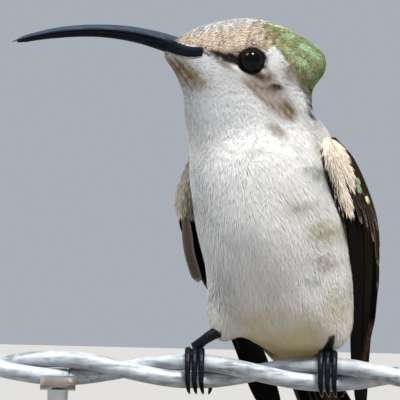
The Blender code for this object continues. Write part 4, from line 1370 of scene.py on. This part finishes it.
def add_gape(side, sign):
    """The bare horn that runs back from the bill along the cheek: a low cushion on the face's surface, which
    melts into the bill's side, with the mouth's line pressed along it."""
    places, low, high = np.array(GAPE_EDGES).T
    ahead = np.linspace(places[0], places[-1], 40)
    lower = np.interp(ahead, places, low)
    upper = np.interp(ahead, places, high)
    blunt = np.sqrt(np.clip((ahead - ahead[0]) / 0.14, 0.05, 1))
    middle = (lower + upper) / 2
    half = (upper - lower) / 2 * blunt
    turn = circle(24)
    above = middle[:, None] + half[:, None] * np.cos(turn)
    face = np.sin(turn) > -1e-9
    spot = (eye_centre(sign) - HEAD_LEFT * sign * EYE_ASIDE + BILL_WAY * ahead[:, None, None]
            + UP * above[..., None])
    surface = on_body(spot, np.broadcast_to(HEAD_LEFT * sign, spot.shape), np.zeros(above.shape))
    out = dot(surface - spot, HEAD_LEFT * sign)
    share = (BILL_ROOT - dot(BILL_CROWN - spot, BILL_WAY)) / (BILL_ROOT - BILL_TIP)
    rise = spot[..., 2] - bill_frame(share)[0][..., 2]
    half_bill = read_table(BILL_HALF_HEIGHTS, share)
    beside = half_bill * BILL_WIDTH_TO_HEIGHT * np.sqrt(np.clip(1 - (rise / half_bill) ** 2, 0, 1))
    out = np.maximum(out, beside)
    line = 0.07 * np.exp(-((np.cos(turn) + 0.25) / 0.12) ** 2)
    fade = 1 - smooth_step(ahead, 8.8, 11.0)[:, None]
    cushion = np.where(face, (0.22 * np.abs(np.sin(turn)) ** 0.6 - line) * fade - 0.14 * (1 - fade), -0.5)
    rings = spot + HEAD_LEFT * sign * (out + cushion)[..., None]
    add_piece("gape_" + side, one_solid(rings), "bill horn", "bill_horn")


# Wings and tail.


def on_wing(side, down, across, lift):
    """Points of a folded wing: down from 0 at the bend to 1 at the tip, across from 0 at its front edge to 1
    at its rear, and lift from -1 on the inner face to 1 on the outer."""
    rows = read_rows(smooth_rows(WINGS[side], WING_STEPS + 1), down)
    height, front, rear, out, thickness = np.moveaxis(rows, -1, 0)
    trunk = centre_of("trunk")
    line = trunk - SPINE_UP * ((trunk[2] - height) / SPINE_UP[2])[..., None]
    across = np.clip(across, 0.0, 1.0)
    bulge = (2 * np.sqrt(np.clip(across * (1 - across), 0, 1))) ** WING_FLATNESS
    return (line + BACK * (front + (rear - front) * across)[..., None]
            + LEFT * SIDES[side] * (out + thickness / 2 * (bulge * lift))[..., None])


# A large vane: where its root and tip are down the wing or tail, its middle across it at both ends, its half
# width and its lift. Its ring has twelve sides: across in shares of the half width, and up in shares of its
# thickness.
Quill = namedtuple("Quill", "root tip base_across tip_across half_width lift")
QUILL_ACROSS = np.array((-1.0, -0.72, -0.3, -0.07, 0.0, 0.07, 0.4, 0.8, 1.0, 0.5, 0.0, -0.5))
QUILL_UP = np.array((0.0, 0.7, 0.9, 1.0, 2.0, 1.0, 0.9, 0.7, 0.0, -0.8, -0.9, -0.8))
QUILL_REAR_EDGE = 8


def quill_rings(place, quills, stations, thickness):
    """Flat vanes over a surface, each with a shaft ridge, a narrow root and a round tip."""
    root, tip, base, end, half, lift = np.array(quills).T
    u = np.linspace(0, 1, stations)
    down = root[:, None] + (tip - root)[:, None] * u
    middle = base[:, None] + (end - base)[:, None] * u**1.3
    round_tip = np.sqrt(np.clip(1 - np.clip((u - 0.86) / 0.14, 0, 1) ** 2, 0.02, 1))
    swell = (0.45 + 0.55 * np.clip(u / 0.25, 0, 1) ** 0.7) * round_tip
    spread = middle[..., None] + (half[:, None] * swell)[..., None] * QUILL_ACROSS
    height = lift[:, None, None] + thickness * QUILL_UP - 0.12 * QUILL_ACROSS**2
    return place(np.broadcast_to(down[..., None], spread.shape), spread, height), u


def add_quills(name, place, quills, stations, thickness, colours, seed, look, slot, replaces=(), jitter=0.0):
    """One piece of large vanes, each with its own strip of the map. Both edges and the tip take the edge
    colour. Every vane's ends, width and tone differ a little from its neighbours'."""
    middle, edge, edge_share, tip_share, shine = colours
    random = np.random.default_rng(seed)
    quills = np.array(quills)
    count = len(quills)
    uneven = random.normal(0, 1, (count, 3)) * jitter
    quills[:, 1] += uneven[:, 0] * 0.02
    quills[:, 3] += uneven[:, 1] * 0.025
    quills[:, 4] *= 1 + uneven[:, 2] * 0.12
    rings, u = quill_rings(place, quills, stations, thickness)
    across = QUILL_ACROSS
    tone = (0.8 + 0.4 * random.uniform(size=(count, 1, 1, 1)))
    rim = smooth_step(np.abs(across), 0.66, 0.98) * np.where(across < 0, 1.0, 0.5)
    rim = rim * np.broadcast_to(edge_share, (count,))[:, None, None]
    share = np.clip(rim + tip_share * smooth_step(u, 0.9, 1.0)[None, :, None], 0, 1)[..., None]
    middle = np.broadcast_to(middle, (count, 3))[:, None, None]
    paint = (middle + (edge - middle) * share) * tone
    length = np.linalg.norm(np.diff(rings.mean(axis=2), axis=1), axis=-1).cumsum(axis=1)
    length = np.concatenate((np.zeros((count, 1)), length), axis=1)
    width = np.linalg.norm(rings[:, :, 0] - rings[:, :, QUILL_REAR_EDGE], axis=-1) / 2
    along = np.broadcast_to(length[..., None], rings.shape[:3])
    beside = width[..., None] * across
    starts, ends = rings[:, 0].mean(axis=1), rings[:, -1].mean(axis=1)
    columns = math.ceil(math.sqrt(count))
    cell = 1.0 / columns
    order = np.arange(count)
    corner = np.stack((order % columns, order // columns), axis=-1) * cell
    ring_turn = np.linspace(0.04, 0.96, len(across))
    inner = np.stack(np.meshgrid(ring_turn, np.linspace(0.06, 0.94, stations)), axis=-1)
    uv = corner[:, None, None] + inner[None] * cell
    uv = spread_to_vertices(uv, [corner + np.array((0.5, end)) * cell for end in (0.03, 0.97)])
    zeros = np.zeros(count)
    floats = {"shine": np.full(count * (stations * len(across) + 2), shine),
              "across": spread_to_vertices(beside, (zeros, zeros)),
              "along": spread_to_vertices(along, (zeros, length[:, -1]))}
    paint = spread_to_vertices(paint, (paint[:, 0].mean(axis=1), paint[:, -1].mean(axis=1)))
    add_piece(name, joined_solids(rings, starts, ends), look, slot, uv=uv, colours=paint, floats=floats,
              replaces=replaces)


def add_wing(side):
    """A folded wing: a thin arm inside, then primaries, secondaries and rows of coverts, and soft tufts."""
    tone = plumage_tones()
    flight, flight_edge, covert, covert_edge = (tone[key] for key in (
        "flight", "flight_edge", "covert", "covert_edge"))
    inner = 0.34 if side == "left" else 0.12
    place = partial(on_wing, side)

    def add_group(group, quills, stations, colours, seed, slot, replaces=(), jitter=1.0):
        add_quills("wing_%s_%s" % (side, group), place, quills, stations, 0.06, colours, seed, "stiff feather",
                   slot, replaces, jitter)

    primaries = [Quill(0.16, 1.0 - 0.034 * k, 0.10 + 0.085 * k, 0.42 + 0.035 * k, 0.12 + 0.006 * k,
                       -0.55 + 0.14 * k) for k in range(10)]
    tan = np.array((1.0, 1.0, 0.9, 0.9, 0.7, 0.4, 0.05, 0.1, 0.1, 0.1))
    add_group("primaries", primaries, 40, (flight, flight_edge, tan, 0.2, 0.05), 101, "flight_plumage",
              ("wing_%s_flight" % side,), 0.0)
    secondaries = [Quill(0.2, 0.61 - 0.035 * k, 0.66 + 0.05 * k, 0.80 + 0.025 * k, 0.10, 0.55 + 0.08 * k)
                   for k in range(6)]
    add_group("secondaries", secondaries, 24, (covert * 0.7, covert_edge, 0.55, 0.5, 0.05), 102,
              "flight_plumage")
    greater = [Quill(0.1, 0.29 + 0.006 * k, inner + 0.055 * k, inner + 0.09 + 0.055 * k, 0.055,
                     0.92 + 0.02 * k) for k in range(11)]
    add_group("greater_coverts", greater, 18, (covert, covert_edge, 0.6, 0.8, 0.05), 103, "covert_plumage",
              ("wing_%s_coverts" % side,), 1.6)
    median = [Quill(0.04, 0.225 + 0.005 * k, inner + 0.058 * k, inner + 0.07 + 0.055 * k, 0.055,
                    1.08 + 0.02 * k) for k in range(11)]
    add_group("median_coverts", median, 14, (covert * 1.3, covert_edge, 0.65, 0.8, 0.1), 104, "covert_plumage",
              (), 1.8)
    lesser = [Quill(0.028 * row, 0.028 * row + 0.09, inner + 0.08 * (k + 0.5 * (row % 2)) - 0.03,
                    inner + 0.08 * (k + 0.5 * (row % 2)) + 0.01, 0.05, 1.3 - 0.03 * row)
              for row in range(6) for k in range(8)]
    add_group("lesser_coverts", lesser, 8, (covert * 1.2, covert_edge * 0.8, 0.7, 0.5, 0.3), 105,
              "covert_plumage", (), 2.0)
    add_soft_edge(side)
    arm_down = np.linspace(0.01, 0.97, 60)
    turn = circle(20)
    across = 0.5 - 0.42 * np.cos(turn)
    lift = np.sign(np.sin(turn)) * 0.5
    shape = one_solid(on_wing(side, arm_down[:, None] + 0 * across, across + 0 * arm_down[:, None],
                              lift * np.abs(np.sin(turn)) + 0 * arm_down[:, None] - 0.35))
    dark = np.zeros((len(shape[0]), 3)) + flight * 1.2
    add_piece("wing_%s_arm" % side, shape, "arm plumage", "flight_plumage", colours=dark,
              floats={"shine": np.zeros(len(dark))})


SoftPatch = namedtuple(
    "SoftPatch", "tufts first last across_first across_last half_across lift stand length tone colour")
# The soft tufts over each wing's bend: where each patch's roots start and end down the wing, its middle across
# it at both ends, its half width, the roots' lift over the wing, how far the tips stand out and the barbs'
# length in millimetres, its tone, and its colour.
SOFT_PATCHES = {side: [SoftPatch(*row) for row in rows] for side, rows in {
    "left": ((250, 0.0, 0.08, 0.20, 0.26, 0.27, 1.1, 0.34, 1.9, 1.05, "lappet"),
             (90, 0.07, 0.185, 0.36, 0.37, 0.12, 1.1, 0.34, 1.8, 1.1, "lappet"),
             (120, 0.07, 0.26, 0.04, 0.07, 0.05, 1.0, 0.36, 2.1, 1.1, "lappet"),
             (60, 0.13, 0.29, 0.0, 0.0, 0.01, -1.0, 0.5, 1.5, 3.0, "flight"),
             (12, 0.175, 0.19, 0.50, 0.51, 0.02, 1.6, 0.15, 0.5, 0.8, "mint"),
             (22, 0.195, 0.215, 0.44, 0.44, 0.03, 1.6, 0.15, 0.6, 0.7, "mint"),
             (6, 0.235, 0.248, 0.61, 0.62, 0.005, 1.6, 0.15, 0.7, 0.6, "tips")),
    # The right wing's lappets take a lower tone than the left's: painted shade, as that side lies in shadow.
    "right": ((260, 0.02, 0.25, 0.08, 0.12, 0.12, -1.0, 0.4, 1.5, 0.85, "lappet"),
              (50, 0.12, 0.22, 0.0, 0.0, 0.02, 0.0, 0.5, 1.4, 0.8, "lappet")),
}.items()}


def add_soft_edge(side):
    """Soft pale tufts over the wing's bend and its front edge, with glints among its coverts."""
    tone = plumage_tones()
    random = np.random.default_rng(131)
    per_fan = 7
    patches = SOFT_PATCHES[side]
    chosen = np.repeat(np.arange(len(patches)), [patch.tufts for patch in patches])
    patch = SoftPatch(*(np.array(part)[chosen] for part in zip(*patches)))
    along = random.uniform(0, 1, len(chosen))
    down = patch.first + (patch.last - patch.first) * along
    across = patch.across_first + (patch.across_last - patch.across_first) * along
    across = np.clip(across + patch.half_across * random.uniform(-1, 1, len(chosen)), 0.02, 1.0)
    paint = np.array([tone[key] for key in patch.colour]) * patch.tone[:, None]
    across, down, lift, stand, reach, paint = (np.repeat(part, per_fan, axis=0) for part in (
        across, down, patch.lift, patch.stand, patch.length, paint))
    step = np.tile(np.linspace(-1, 1, per_fan), len(chosen))
    chance = random.uniform(0, 1, (len(step), 3))
    lift = np.where(across < 0.05, np.minimum(lift, 1) * random.uniform(0, 1, len(step)), lift)
    roots = on_wing(side, np.maximum(down, 0), across, lift)
    ways = unit(on_wing(side, np.maximum(down, 0) + 0.04, across, lift) - roots)
    front = (1 - smooth_step(across, 0.0, 0.12))[:, None]
    outwards = LEFT * (1 - 0.6 * front) - BACK * front if side == "left" else LEFT * 0.35 - BACK + 0 * front
    outwards = unit(outwards - ways * dot(outwards, ways)[:, None])
    aside = np.cross(outwards, ways)
    roots = roots + ways * (np.minimum(down, 0) * 35)[:, None] + aside * (step * 0.16)[:, None]
    turn = step * 0.16 + random.normal(0, 0.1, len(step))
    ways = turned_way(ways, aside, turn)
    length = reach * (0.75 + 0.4 * chance[:, 0])
    stand = stand * (0.4 + 0.6 * chance[:, 1])
    path = (roots[:, None] + ways[:, None] * (length[:, None] * BARB_SHARES)[..., None]
            + outwards[:, None] * (stand[:, None] * BARB_SHARES**0.6)[..., None])
    tuft = np.repeat(chance[::per_fan, 2], per_fan)
    paint = paint * (0.62 + 0.5 * tuft + 0.2 * chance[:, 0])[:, None]
    paint = np.stack((paint * 0.75, paint, paint * 1.15), axis=1)
    spot = np.column_stack((0.1 + 0.8 * across, 0.1 + 0.8 * np.maximum(down, 0)))
    add_barb_piece("wing_%s_scapulars" % side, path, outwards, 0.13 * (0.7 + 0.6 * chance[:, 2]), spot, paint,
                   np.zeros(len(path)), "soft plumage", "breast_plumage")
    if side == "left":
        return

    def place(down, across, lift):
        """Along the wing's front edge, facing forwards: across in millimetres to the bird's right."""
        return (on_wing(side, down, np.zeros(down.shape), 0.0) - LEFT * across[..., None]
                - BACK * (lift + 0.45)[..., None])

    add_quills("wing_right_marginal_covert", place, [Quill(0.27, 0.492, -1.5, -0.15, 0.78, 0.1)], 24, 0.05,
               (tone["covert"] * 4.0, tone["crown_top"] * 0.8, 1.0, 0.8, 0.0), 132,
               "stiff feather", "covert_plumage")


def add_tail():
    """Ten tail feathers stacked from the outer pair up to the middle pair, and buff coverts below."""
    tone = plumage_tones()
    over = unit(np.cross(LEFT, TAIL_WAY))
    if dot(over, BACK) < 0:
        over = -over

    def place(down, across, lift):
        """Down in shares of the tail's length, across in millimetres from its middle."""
        return (TAIL_ROOT + TAIL_WAY * (down * TAIL_LENGTH)[..., None] + LEFT * across[..., None]
                + over * (lift - 0.012 * across**2)[..., None])

    pale, buff = tone["covert_edge"], tone["belly"]
    for name, pairs, paint in (("tail_outer", (4, 3, 2), (tone["flight"], pale * 1.2, 0.2, 0.95, 0.1)),
                               ("tail_inner", (1, 0), (tone["bronze"], pale, 0.3, 0.3, 0.7))):
        quills = [Quill(0.0, 1.0 - 0.012 * k**1.5, sign * (0.25 + 0.42 * k), sign * (0.4 + 0.8 * k),
                        1.25 - 0.03 * k, 0.45 - 0.2 * k + 0.04 * sign)
                  for k in pairs for sign in (-1, 1)]
        add_quills(name, place, quills, 40, 0.05, paint, 111, "stiff feather", "flight_plumage",
                   replaces=("tail",) if name == "tail_outer" else ())
    rows = [Quill(0.02 + 0.03 * row, 0.26 + 0.1 * row - 0.012 * abs(k), 0.62 * k + 0.3 * (row % 2),
                  0.72 * k + 0.3 * (row % 2), 0.62, -0.75 + 0.12 * row - 0.05 * abs(k))
            for row in (2, 1, 0) for k in (-3, -2, -1, 0, 1, 2, 3)]
    add_quills("undertail_coverts", place, rows, 12, 0.04, (buff, buff * 1.25, 0.4, 0.6, 0.0), 112,
               "sleek plumage", "breast_plumage")


# Legs and feet.


def tube_rings(path, radius, sides):
    """Rings along a path, each across its own direction, with a radius at each point of each ring."""
    onward = unit(np.gradient(path, axis=0))
    side = unit(np.cross(onward, np.array((1.0, 0.2, 0.05))))
    other = np.cross(onward, side)
    turn = circle(sides)
    radius = np.broadcast_to(radius, (len(path), sides))
    return (path[:, None] + side[:, None] * (np.cos(turn) * radius)[..., None]
            + other[:, None] * (np.sin(turn) * radius)[..., None])


def around_wire(degrees, along, clear=CLEAR_OF_WIRE):
    """Points beside the wire at angles round it, from its top towards -Y."""
    angle = np.radians(degrees)
    return np.stack((along + 0 * angle, -(GRIP_HALF_WIDTH + clear) * np.sin(angle),
                     PERCH_HEIGHT + (WIRE_RADIUS + clear) * np.cos(angle)), axis=-1)


def add_scaly(name, path, radii, scutes, replaces):
    """A limb ringed by overlapping scutes: its radius climbs along each and drops at its end."""
    u = np.linspace(0, 1, len(path))
    radius = read_evenly(radii, u)
    climb = (u * scutes) % 1.0
    crest = np.clip(np.sin(np.minimum(climb / 0.8, (1 - climb) / 0.2) * math.pi / 2), 0, 1)
    size = radius * (0.96 + 0.06 * crest)
    rings = tube_rings(path, size[:, None], 16)
    start = path[0] - (path[1] - path[0]) * 0.5
    end = path[-1] + (path[-1] - path[-2]) * 0.8
    # Painted highlight: each scute's crest is stored for leg_look to paint paler.
    shine = spread_to_vertices(np.broadcast_to(crest[:, None], rings.shape[:2])[None],
                               (np.zeros(1), np.zeros(1)))
    add_piece(name, one_solid(rings, start, end), "leg", "leg_skin", floats={"crest": shine}, replaces=replaces)


def add_foot(side):
    """A tarsus, three front toes and a hind toe round the wire, each with its curved claw."""
    leg = LEGS[side]
    ankle = np.array(leg.ankle)
    sole = np.array((leg.foot, SOLE_BEHIND, PERCH_HEIGHT + WIRE_RADIUS + SOLE_ABOVE_WIRE))
    middle = (ankle + sole) / 2 + SHANK_BOW
    top = ankle + (ankle - sole) * 0.25 + BACK * 0.9
    shank = smooth_rows((top, ankle, middle, sole), 50)
    add_scaly("scaled_tarsus_" + side, shank, TARSUS_RADII, 9, ("tarsus_" + side,))
    toes = [(k, 1, leg.foot + (k - 2) * TOE_ROOT_SPACING, leg.foot + (k - 2) * TOE_SPACING)
            for k in (1, 2, 3)]
    toes.append((4, -1, leg.foot, leg.foot + leg.hallux_drift))
    for k, way, start, end in toes:
        steps = np.linspace(0, 1, 60)
        along = start + (end - start) * np.sin(steps * math.pi / 2)
        degrees = TOE_SPAN[0] + (TOE_SPAN[1] - TOE_SPAN[0]) * steps - 16 * (1 - steps) ** 2
        path = around_wire(way * degrees, along)
        path[:, 2] += 0.05 * np.sin(steps * 3 * math.pi)
        add_scaly("scaled_toe_%s_%d" % (side, k), path, TOE_RADII, 8, ("toe_%s_%d" % (side, k),))
        bend = np.linspace(0, 1, 30)
        degrees = CLAW_SPAN[0] + (CLAW_SPAN[1] - CLAW_SPAN[0]) * bend
        hook = around_wire(way * degrees, end + CLAW_DRIFT * way * bend)
        hook = hook + (CLAW_HOOK * way + CLAW_DROP) * bend[:, None]
        radius = read_evenly(CLAW_RADII, bend)
        rings = tube_rings(hook, radius[:, None], 14)
        tip = hook[-1] + (hook[-1] - hook[-2]) * 2.5
        add_piece("curved_claw_%s_%d" % (side, k), one_solid(rings, hook[0], tip), "claw horn", "claw_horn",
                  replaces=("claw_%s_%d" % (side, k),))


# Perch and stand.


def add_wire():
    """Two strands that wind round each other, each with a slightly uneven zinc skin and a sheared end."""
    steps = np.linspace(-PERCH_LENGTH / 2, PERCH_LENGTH / 2, 300)
    for name, phase in (("perch_strand_a", 0.0), ("perch_strand_b", math.pi)):
        turn = math.pi * steps / HALF_TWIST + phase
        path = np.column_stack((steps, STRAND_OFFSET * np.cos(turn),
                                PERCH_HEIGHT + STRAND_OFFSET * np.sin(turn)))
        rings = tube_rings(path, STRAND_RADIUS - ZINC_MARGIN, 32)
        uneven = ZINC_UNEVENNESS * ripple(rings * np.array((0.4, 1.0, 1.0)), 1.3, 121)
        rings = rings + unit(rings - path[:, None]) * uneven[..., None]
        ends = np.linspace(0.55, 1.0, 4)[:, None, None]
        first = path[0] + (rings[0] - path[0]) * ends
        last = path[-1] + (rings[-1] - path[-1]) * ends[::-1]
        rings = np.concatenate((first, rings, last))
        add_piece("zinc_" + name, one_solid(rings, path[0], path[-1]), "zinc", "galvanised_wire",
                  replaces=(name,))


def turned(axis, profile, sides):
    """Rings of a turned shape about an upright axis: radius and height pairs, read smoothly."""
    radius, height = np.array(profile).T
    turn = circle(sides)
    spots = np.stack((np.cos(turn), np.sin(turn)), axis=-1)
    flat = np.array(axis) + radius[:, None, None] * spots
    return np.concatenate((flat, np.broadcast_to(height[:, None, None], (*flat.shape[:2], 1))), axis=-1)


def add_stand():
    """A moulded hardwood base, and two satin rods, each with a foot ring and a saddle for the wire."""
    x, y, z = BASE_SIZE
    turn = circle(96) + math.pi / 96
    way = np.stack((np.cos(turn), np.sin(turn)), axis=-1)
    hub = np.sign(way) * np.array((x / 2 - BASE_INSET - BASE_CORNER, y / 2 - BASE_INSET - BASE_CORNER))
    slab = np.array([np.column_stack((hub + way * (BASE_CORNER + out), np.full(len(turn), height)))
                     for out, height in BASE_PROFILE])
    crease(add_piece("moulded_base", one_solid(slab, np.zeros(3), UP * z), "wood", "stand_wood",
                     replaces=("stand_base",)))
    for side, along in ROD_PLACES.items():
        bottom = z + 0.02
        top = PERCH_HEIGHT - STRAND_RADIUS - ROD_BELOW_WIRE
        profile = ((0.2, bottom), (2.6, bottom), (2.75, bottom + 0.15), (2.75, bottom + 0.7),
                   (2.6, bottom + 0.9), (1.75, bottom + 1.05), (1.55, bottom + 1.3), (ROD_RADIUS, bottom + 1.6),
                   (ROD_RADIUS, top - 3.0), (1.5, top - 2.8), (1.5, top - 2.3), (ROD_RADIUS, top - 2.1),
                   (ROD_RADIUS, top), (0.2, top))
        rings = turned((along, 0.0), profile, 48)
        crease(add_piece("rod_" + side, one_solid(rings), "steel", "stand_steel",
                         replaces=("stand_rod_" + side,)))
        add_saddle(side, along)


def add_saddle(side, along):
    """A short cradle along the wire: an arc inside and one a wall further out, narrower at both ends."""
    steps = np.linspace(-SADDLE_HALF_LENGTH, SADDLE_HALF_LENGTH, 24)
    inner = WIRE_RADIUS + SADDLE_CLEARANCE
    turn = np.linspace(-SADDLE_HALF_TURN, SADDLE_HALF_TURN, 20)
    low, high = (np.stack((np.sin(turn) * radius, -np.cos(turn) * radius), axis=-1)
                 for radius in (inner, inner + SADDLE_WALL))
    outline = np.concatenate((low, high[::-1]))
    narrow = 1 - 0.12 * (steps / SADDLE_HALF_LENGTH) ** 4
    rings = np.zeros((len(steps), len(outline), 3))
    rings[..., 0] = along + steps[:, None]
    rings[..., 1] = outline[:, 0] * narrow[:, None]
    rings[..., 2] = PERCH_HEIGHT + outline[:, 1]
    crease(add_piece("saddle_" + side, one_solid(rings), "steel", "stand_steel"))


# Stage.

FLOOR_HALF_SIZE = 2500.0
SKY_COLOUR = (0.80, 0.86, 0.95, 1.0)
SKY_STRENGTH = 0.50
BIRD_MIDDLE = Vector((0.0, 0.0, 0.06))
# Each light's kind, its direction and its distance in metres off the bird's middle, and its settings.
LIGHTS = {
    "key": ("SUN", (0.25, -0.52, 1.0), 1.0,
            {"energy": 6.2, "angle": math.radians(14), "color": (1.0, 0.965, 0.91)}),
    "softbox": ("AREA", (-0.36, -0.30, 0.62), 0.55,
                {"shape": "DISK", "size": 0.22, "energy": 1.8, "color": (0.86, 0.93, 1.0)}),
}
SENSOR_WIDTH = 36.0


def add_stage():
    """A plain floor, an even pale world, a key on the right, a softbox on the left, and the camera."""
    scene = bpy.context.scene
    size = FLOOR_HALF_SIZE * MM
    floor = bpy.data.meshes.new("floor")
    corners = [(-size, -size, 0), (size, -size, 0), (size, size, 0), (-size, size, 0)]
    floor.from_pydata(corners, [], [(0, 1, 2, 3)])
    floor.materials.append(get_look("floor"))
    obj = bpy.data.objects.new("floor", floor)
    scene.collection.objects.link(obj)

    world = bpy.data.worlds.new("studio")
    scene.world = world
    world.use_nodes = True
    background = world.node_tree.nodes["Background"]
    background.inputs["Color"].default_value = SKY_COLOUR
    background.inputs["Strength"].default_value = SKY_STRENGTH

    for name, row in LIGHTS.items():
        add_light(name, *row)

    camera = bpy.data.cameras.new("camera")
    camera.sensor_width = SENSOR_WIDTH
    camera.lens = camera.sensor_width * CAMERA_DISTANCE / CAMERA_WIDTH
    camera.clip_start = 0.05
    camera.clip_end = 20.0
    obj = bpy.data.objects.new("camera", camera)
    scene.collection.objects.link(obj)
    right = (math.cos(CAMERA_ROLL), 0.0, math.sin(CAMERA_ROLL))
    up = (-math.sin(CAMERA_ROLL), 0.0, math.cos(CAMERA_ROLL))
    back = (0.0, -1.0, 0.0)
    spot = (CAMERA_TARGET[0] * MM, -CAMERA_DISTANCE * MM, CAMERA_TARGET[1] * MM)
    obj.matrix_world = Matrix([*zip(right, up, back, spot), (0.0, 0.0, 0.0, 1.0)])
    scene.camera = obj
    scene.view_settings.view_transform = "Standard"


def add_light(name, kind, way, distance, settings):
    """Puts a light off the bird in a direction, facing it."""
    light = bpy.data.lights.new(name, kind)
    for key, value in settings.items():
        setattr(light, key, value)
    way = Vector(way).normalized()
    obj = bpy.data.objects.new(name, light)
    bpy.context.scene.collection.objects.link(obj)
    obj.location = way * distance + BIRD_MIDDLE
    obj.rotation_euler = way.to_track_quat("Z", "Y").to_euler()


# Operators, panel and registration.


class HUMMINGBIRD_OT_skin(bpy.types.Operator):
    """One skin under the whole coat."""

    bl_idname = "hummingbird.skin"
    bl_label = "Skin"
    bl_options = {"REGISTER", "UNDO"}

    def execute(self, context):
        add_skin()
        return {"FINISHED"}


class HUMMINGBIRD_OT_breast_coat(bpy.types.Operator):
    """Long barbs of breast, belly and flanks."""

    bl_idname = "hummingbird.breast_coat"
    bl_label = "Breast coat"
    bl_options = {"REGISTER", "UNDO"}

    def execute(self, context):
        add_breast_coat()
        return {"FINISHED"}


class HUMMINGBIRD_OT_throat_coat(bpy.types.Operator):
    """Short barbs of throat, cheeks and face."""

    bl_idname = "hummingbird.throat_coat"
    bl_label = "Throat coat"
    bl_options = {"REGISTER", "UNDO"}

    def execute(self, context):
        add_throat_coat()
        return {"FINISHED"}


class HUMMINGBIRD_OT_cap_coat(bpy.types.Operator):
    """Broad short tufts of forehead and crown."""

    bl_idname = "hummingbird.cap_coat"
    bl_label = "Cap coat"
    bl_options = {"REGISTER", "UNDO"}

    def execute(self, context):
        add_cap_coat()
        return {"FINISHED"}


class HUMMINGBIRD_OT_back_coat(bpy.types.Operator):
    """Vanes of nape, mantle, back and rump."""

    bl_idname = "hummingbird.back_coat"
    bl_label = "Back coat"
    bl_options = {"REGISTER", "UNDO"}

    def execute(self, context):
        add_back_coat()
        return {"FINISHED"}


class HUMMINGBIRD_OT_eyes(bpy.types.Operator):
    """Eyeballs and their lids."""

    bl_idname = "hummingbird.eyes"
    bl_label = "Eyes"
    bl_options = {"REGISTER", "UNDO"}

    def execute(self, context):
        add_eyes()
        return {"FINISHED"}


class HUMMINGBIRD_OT_bill(bpy.types.Operator):
    """Both mandibles and the bare gape behind them."""

    bl_idname = "hummingbird.bill"
    bl_label = "Bill"
    bl_options = {"REGISTER", "UNDO"}

    def execute(self, context):
        add_bill()
        return {"FINISHED"}


class HUMMINGBIRD_OT_wings(bpy.types.Operator):
    """Both folded wings, of single feathers."""

    bl_idname = "hummingbird.wings"
    bl_label = "Wings"
    bl_options = {"REGISTER", "UNDO"}

    def execute(self, context):
        add_wing("left")
        add_wing("right")
        return {"FINISHED"}


class HUMMINGBIRD_OT_tail(bpy.types.Operator):
    """Tail feathers and undertail coverts."""

    bl_idname = "hummingbird.tail"
    bl_label = "Tail"
    bl_options = {"REGISTER", "UNDO"}

    def execute(self, context):
        add_tail()
        return {"FINISHED"}


class HUMMINGBIRD_OT_feet(bpy.types.Operator):
    """Scaly legs, toes and claws."""

    bl_idname = "hummingbird.feet"
    bl_label = "Feet"
    bl_options = {"REGISTER", "UNDO"}

    def execute(self, context):
        add_foot("left")
        add_foot("right")
        return {"FINISHED"}


class HUMMINGBIRD_OT_wire(bpy.types.Operator):
    """The twisted wire perch."""

    bl_idname = "hummingbird.wire"
    bl_label = "Wire"
    bl_options = {"REGISTER", "UNDO"}

    def execute(self, context):
        add_wire()
        return {"FINISHED"}


class HUMMINGBIRD_OT_stand(bpy.types.Operator):
    """Base, rods and saddles."""

    bl_idname = "hummingbird.stand"
    bl_label = "Stand"
    bl_options = {"REGISTER", "UNDO"}

    def execute(self, context):
        add_stand()
        return {"FINISHED"}


class HUMMINGBIRD_OT_stage(bpy.types.Operator):
    """Floor, lights and camera."""

    bl_idname = "hummingbird.stage"
    bl_label = "Stage"
    bl_options = {"REGISTER", "UNDO"}

    def execute(self, context):
        add_stage()
        return {"FINISHED"}


OPERATORS = (
    HUMMINGBIRD_OT_skin,
    HUMMINGBIRD_OT_breast_coat,
    HUMMINGBIRD_OT_throat_coat,
    HUMMINGBIRD_OT_cap_coat,
    HUMMINGBIRD_OT_back_coat,
    HUMMINGBIRD_OT_eyes,
    HUMMINGBIRD_OT_bill,
    HUMMINGBIRD_OT_wings,
    HUMMINGBIRD_OT_tail,
    HUMMINGBIRD_OT_feet,
    HUMMINGBIRD_OT_wire,
    HUMMINGBIRD_OT_stand,
    HUMMINGBIRD_OT_stage,
)


class HUMMINGBIRD_PT_panel(bpy.types.Panel):
    """Lists the operators and the settings."""

    bl_label = "Hummingbird"
    bl_idname = "HUMMINGBIRD_PT_panel"
    bl_space_type = "VIEW_3D"
    bl_region_type = "UI"
    bl_category = "Hummingbird"

    def draw(self, context):
        for operator in OPERATORS:
            self.layout.operator(operator.bl_idname)
        for group in (context.scene.hummingbird_colours, context.scene.hummingbird_sizes,
                      context.scene.hummingbird_stand):
            for key in setting_names(group):
                self.layout.prop(group, key)


GROUPS = {"hummingbird_colours": PlumageColours, "hummingbird_sizes": PlumageSizes,
          "hummingbird_stand": PerchAndStand}


def register():
    for item in (*GROUPS.values(), *OPERATORS, HUMMINGBIRD_PT_panel):
        bpy.utils.register_class(item)
    for key, group in GROUPS.items():
        setattr(bpy.types.Scene, key, bpy.props.PointerProperty(type=group))


def unregister():
    for key in GROUPS:
        delattr(bpy.types.Scene, key)
    for item in (HUMMINGBIRD_PT_panel, *reversed(OPERATORS), *GROUPS.values()):
        bpy.utils.unregister_class(item)


def main():
    register()
    for operator in OPERATORS:
        getattr(bpy.ops.hummingbird, operator.bl_idname.split(".")[1])()


if __name__ == "__main__":
    main()
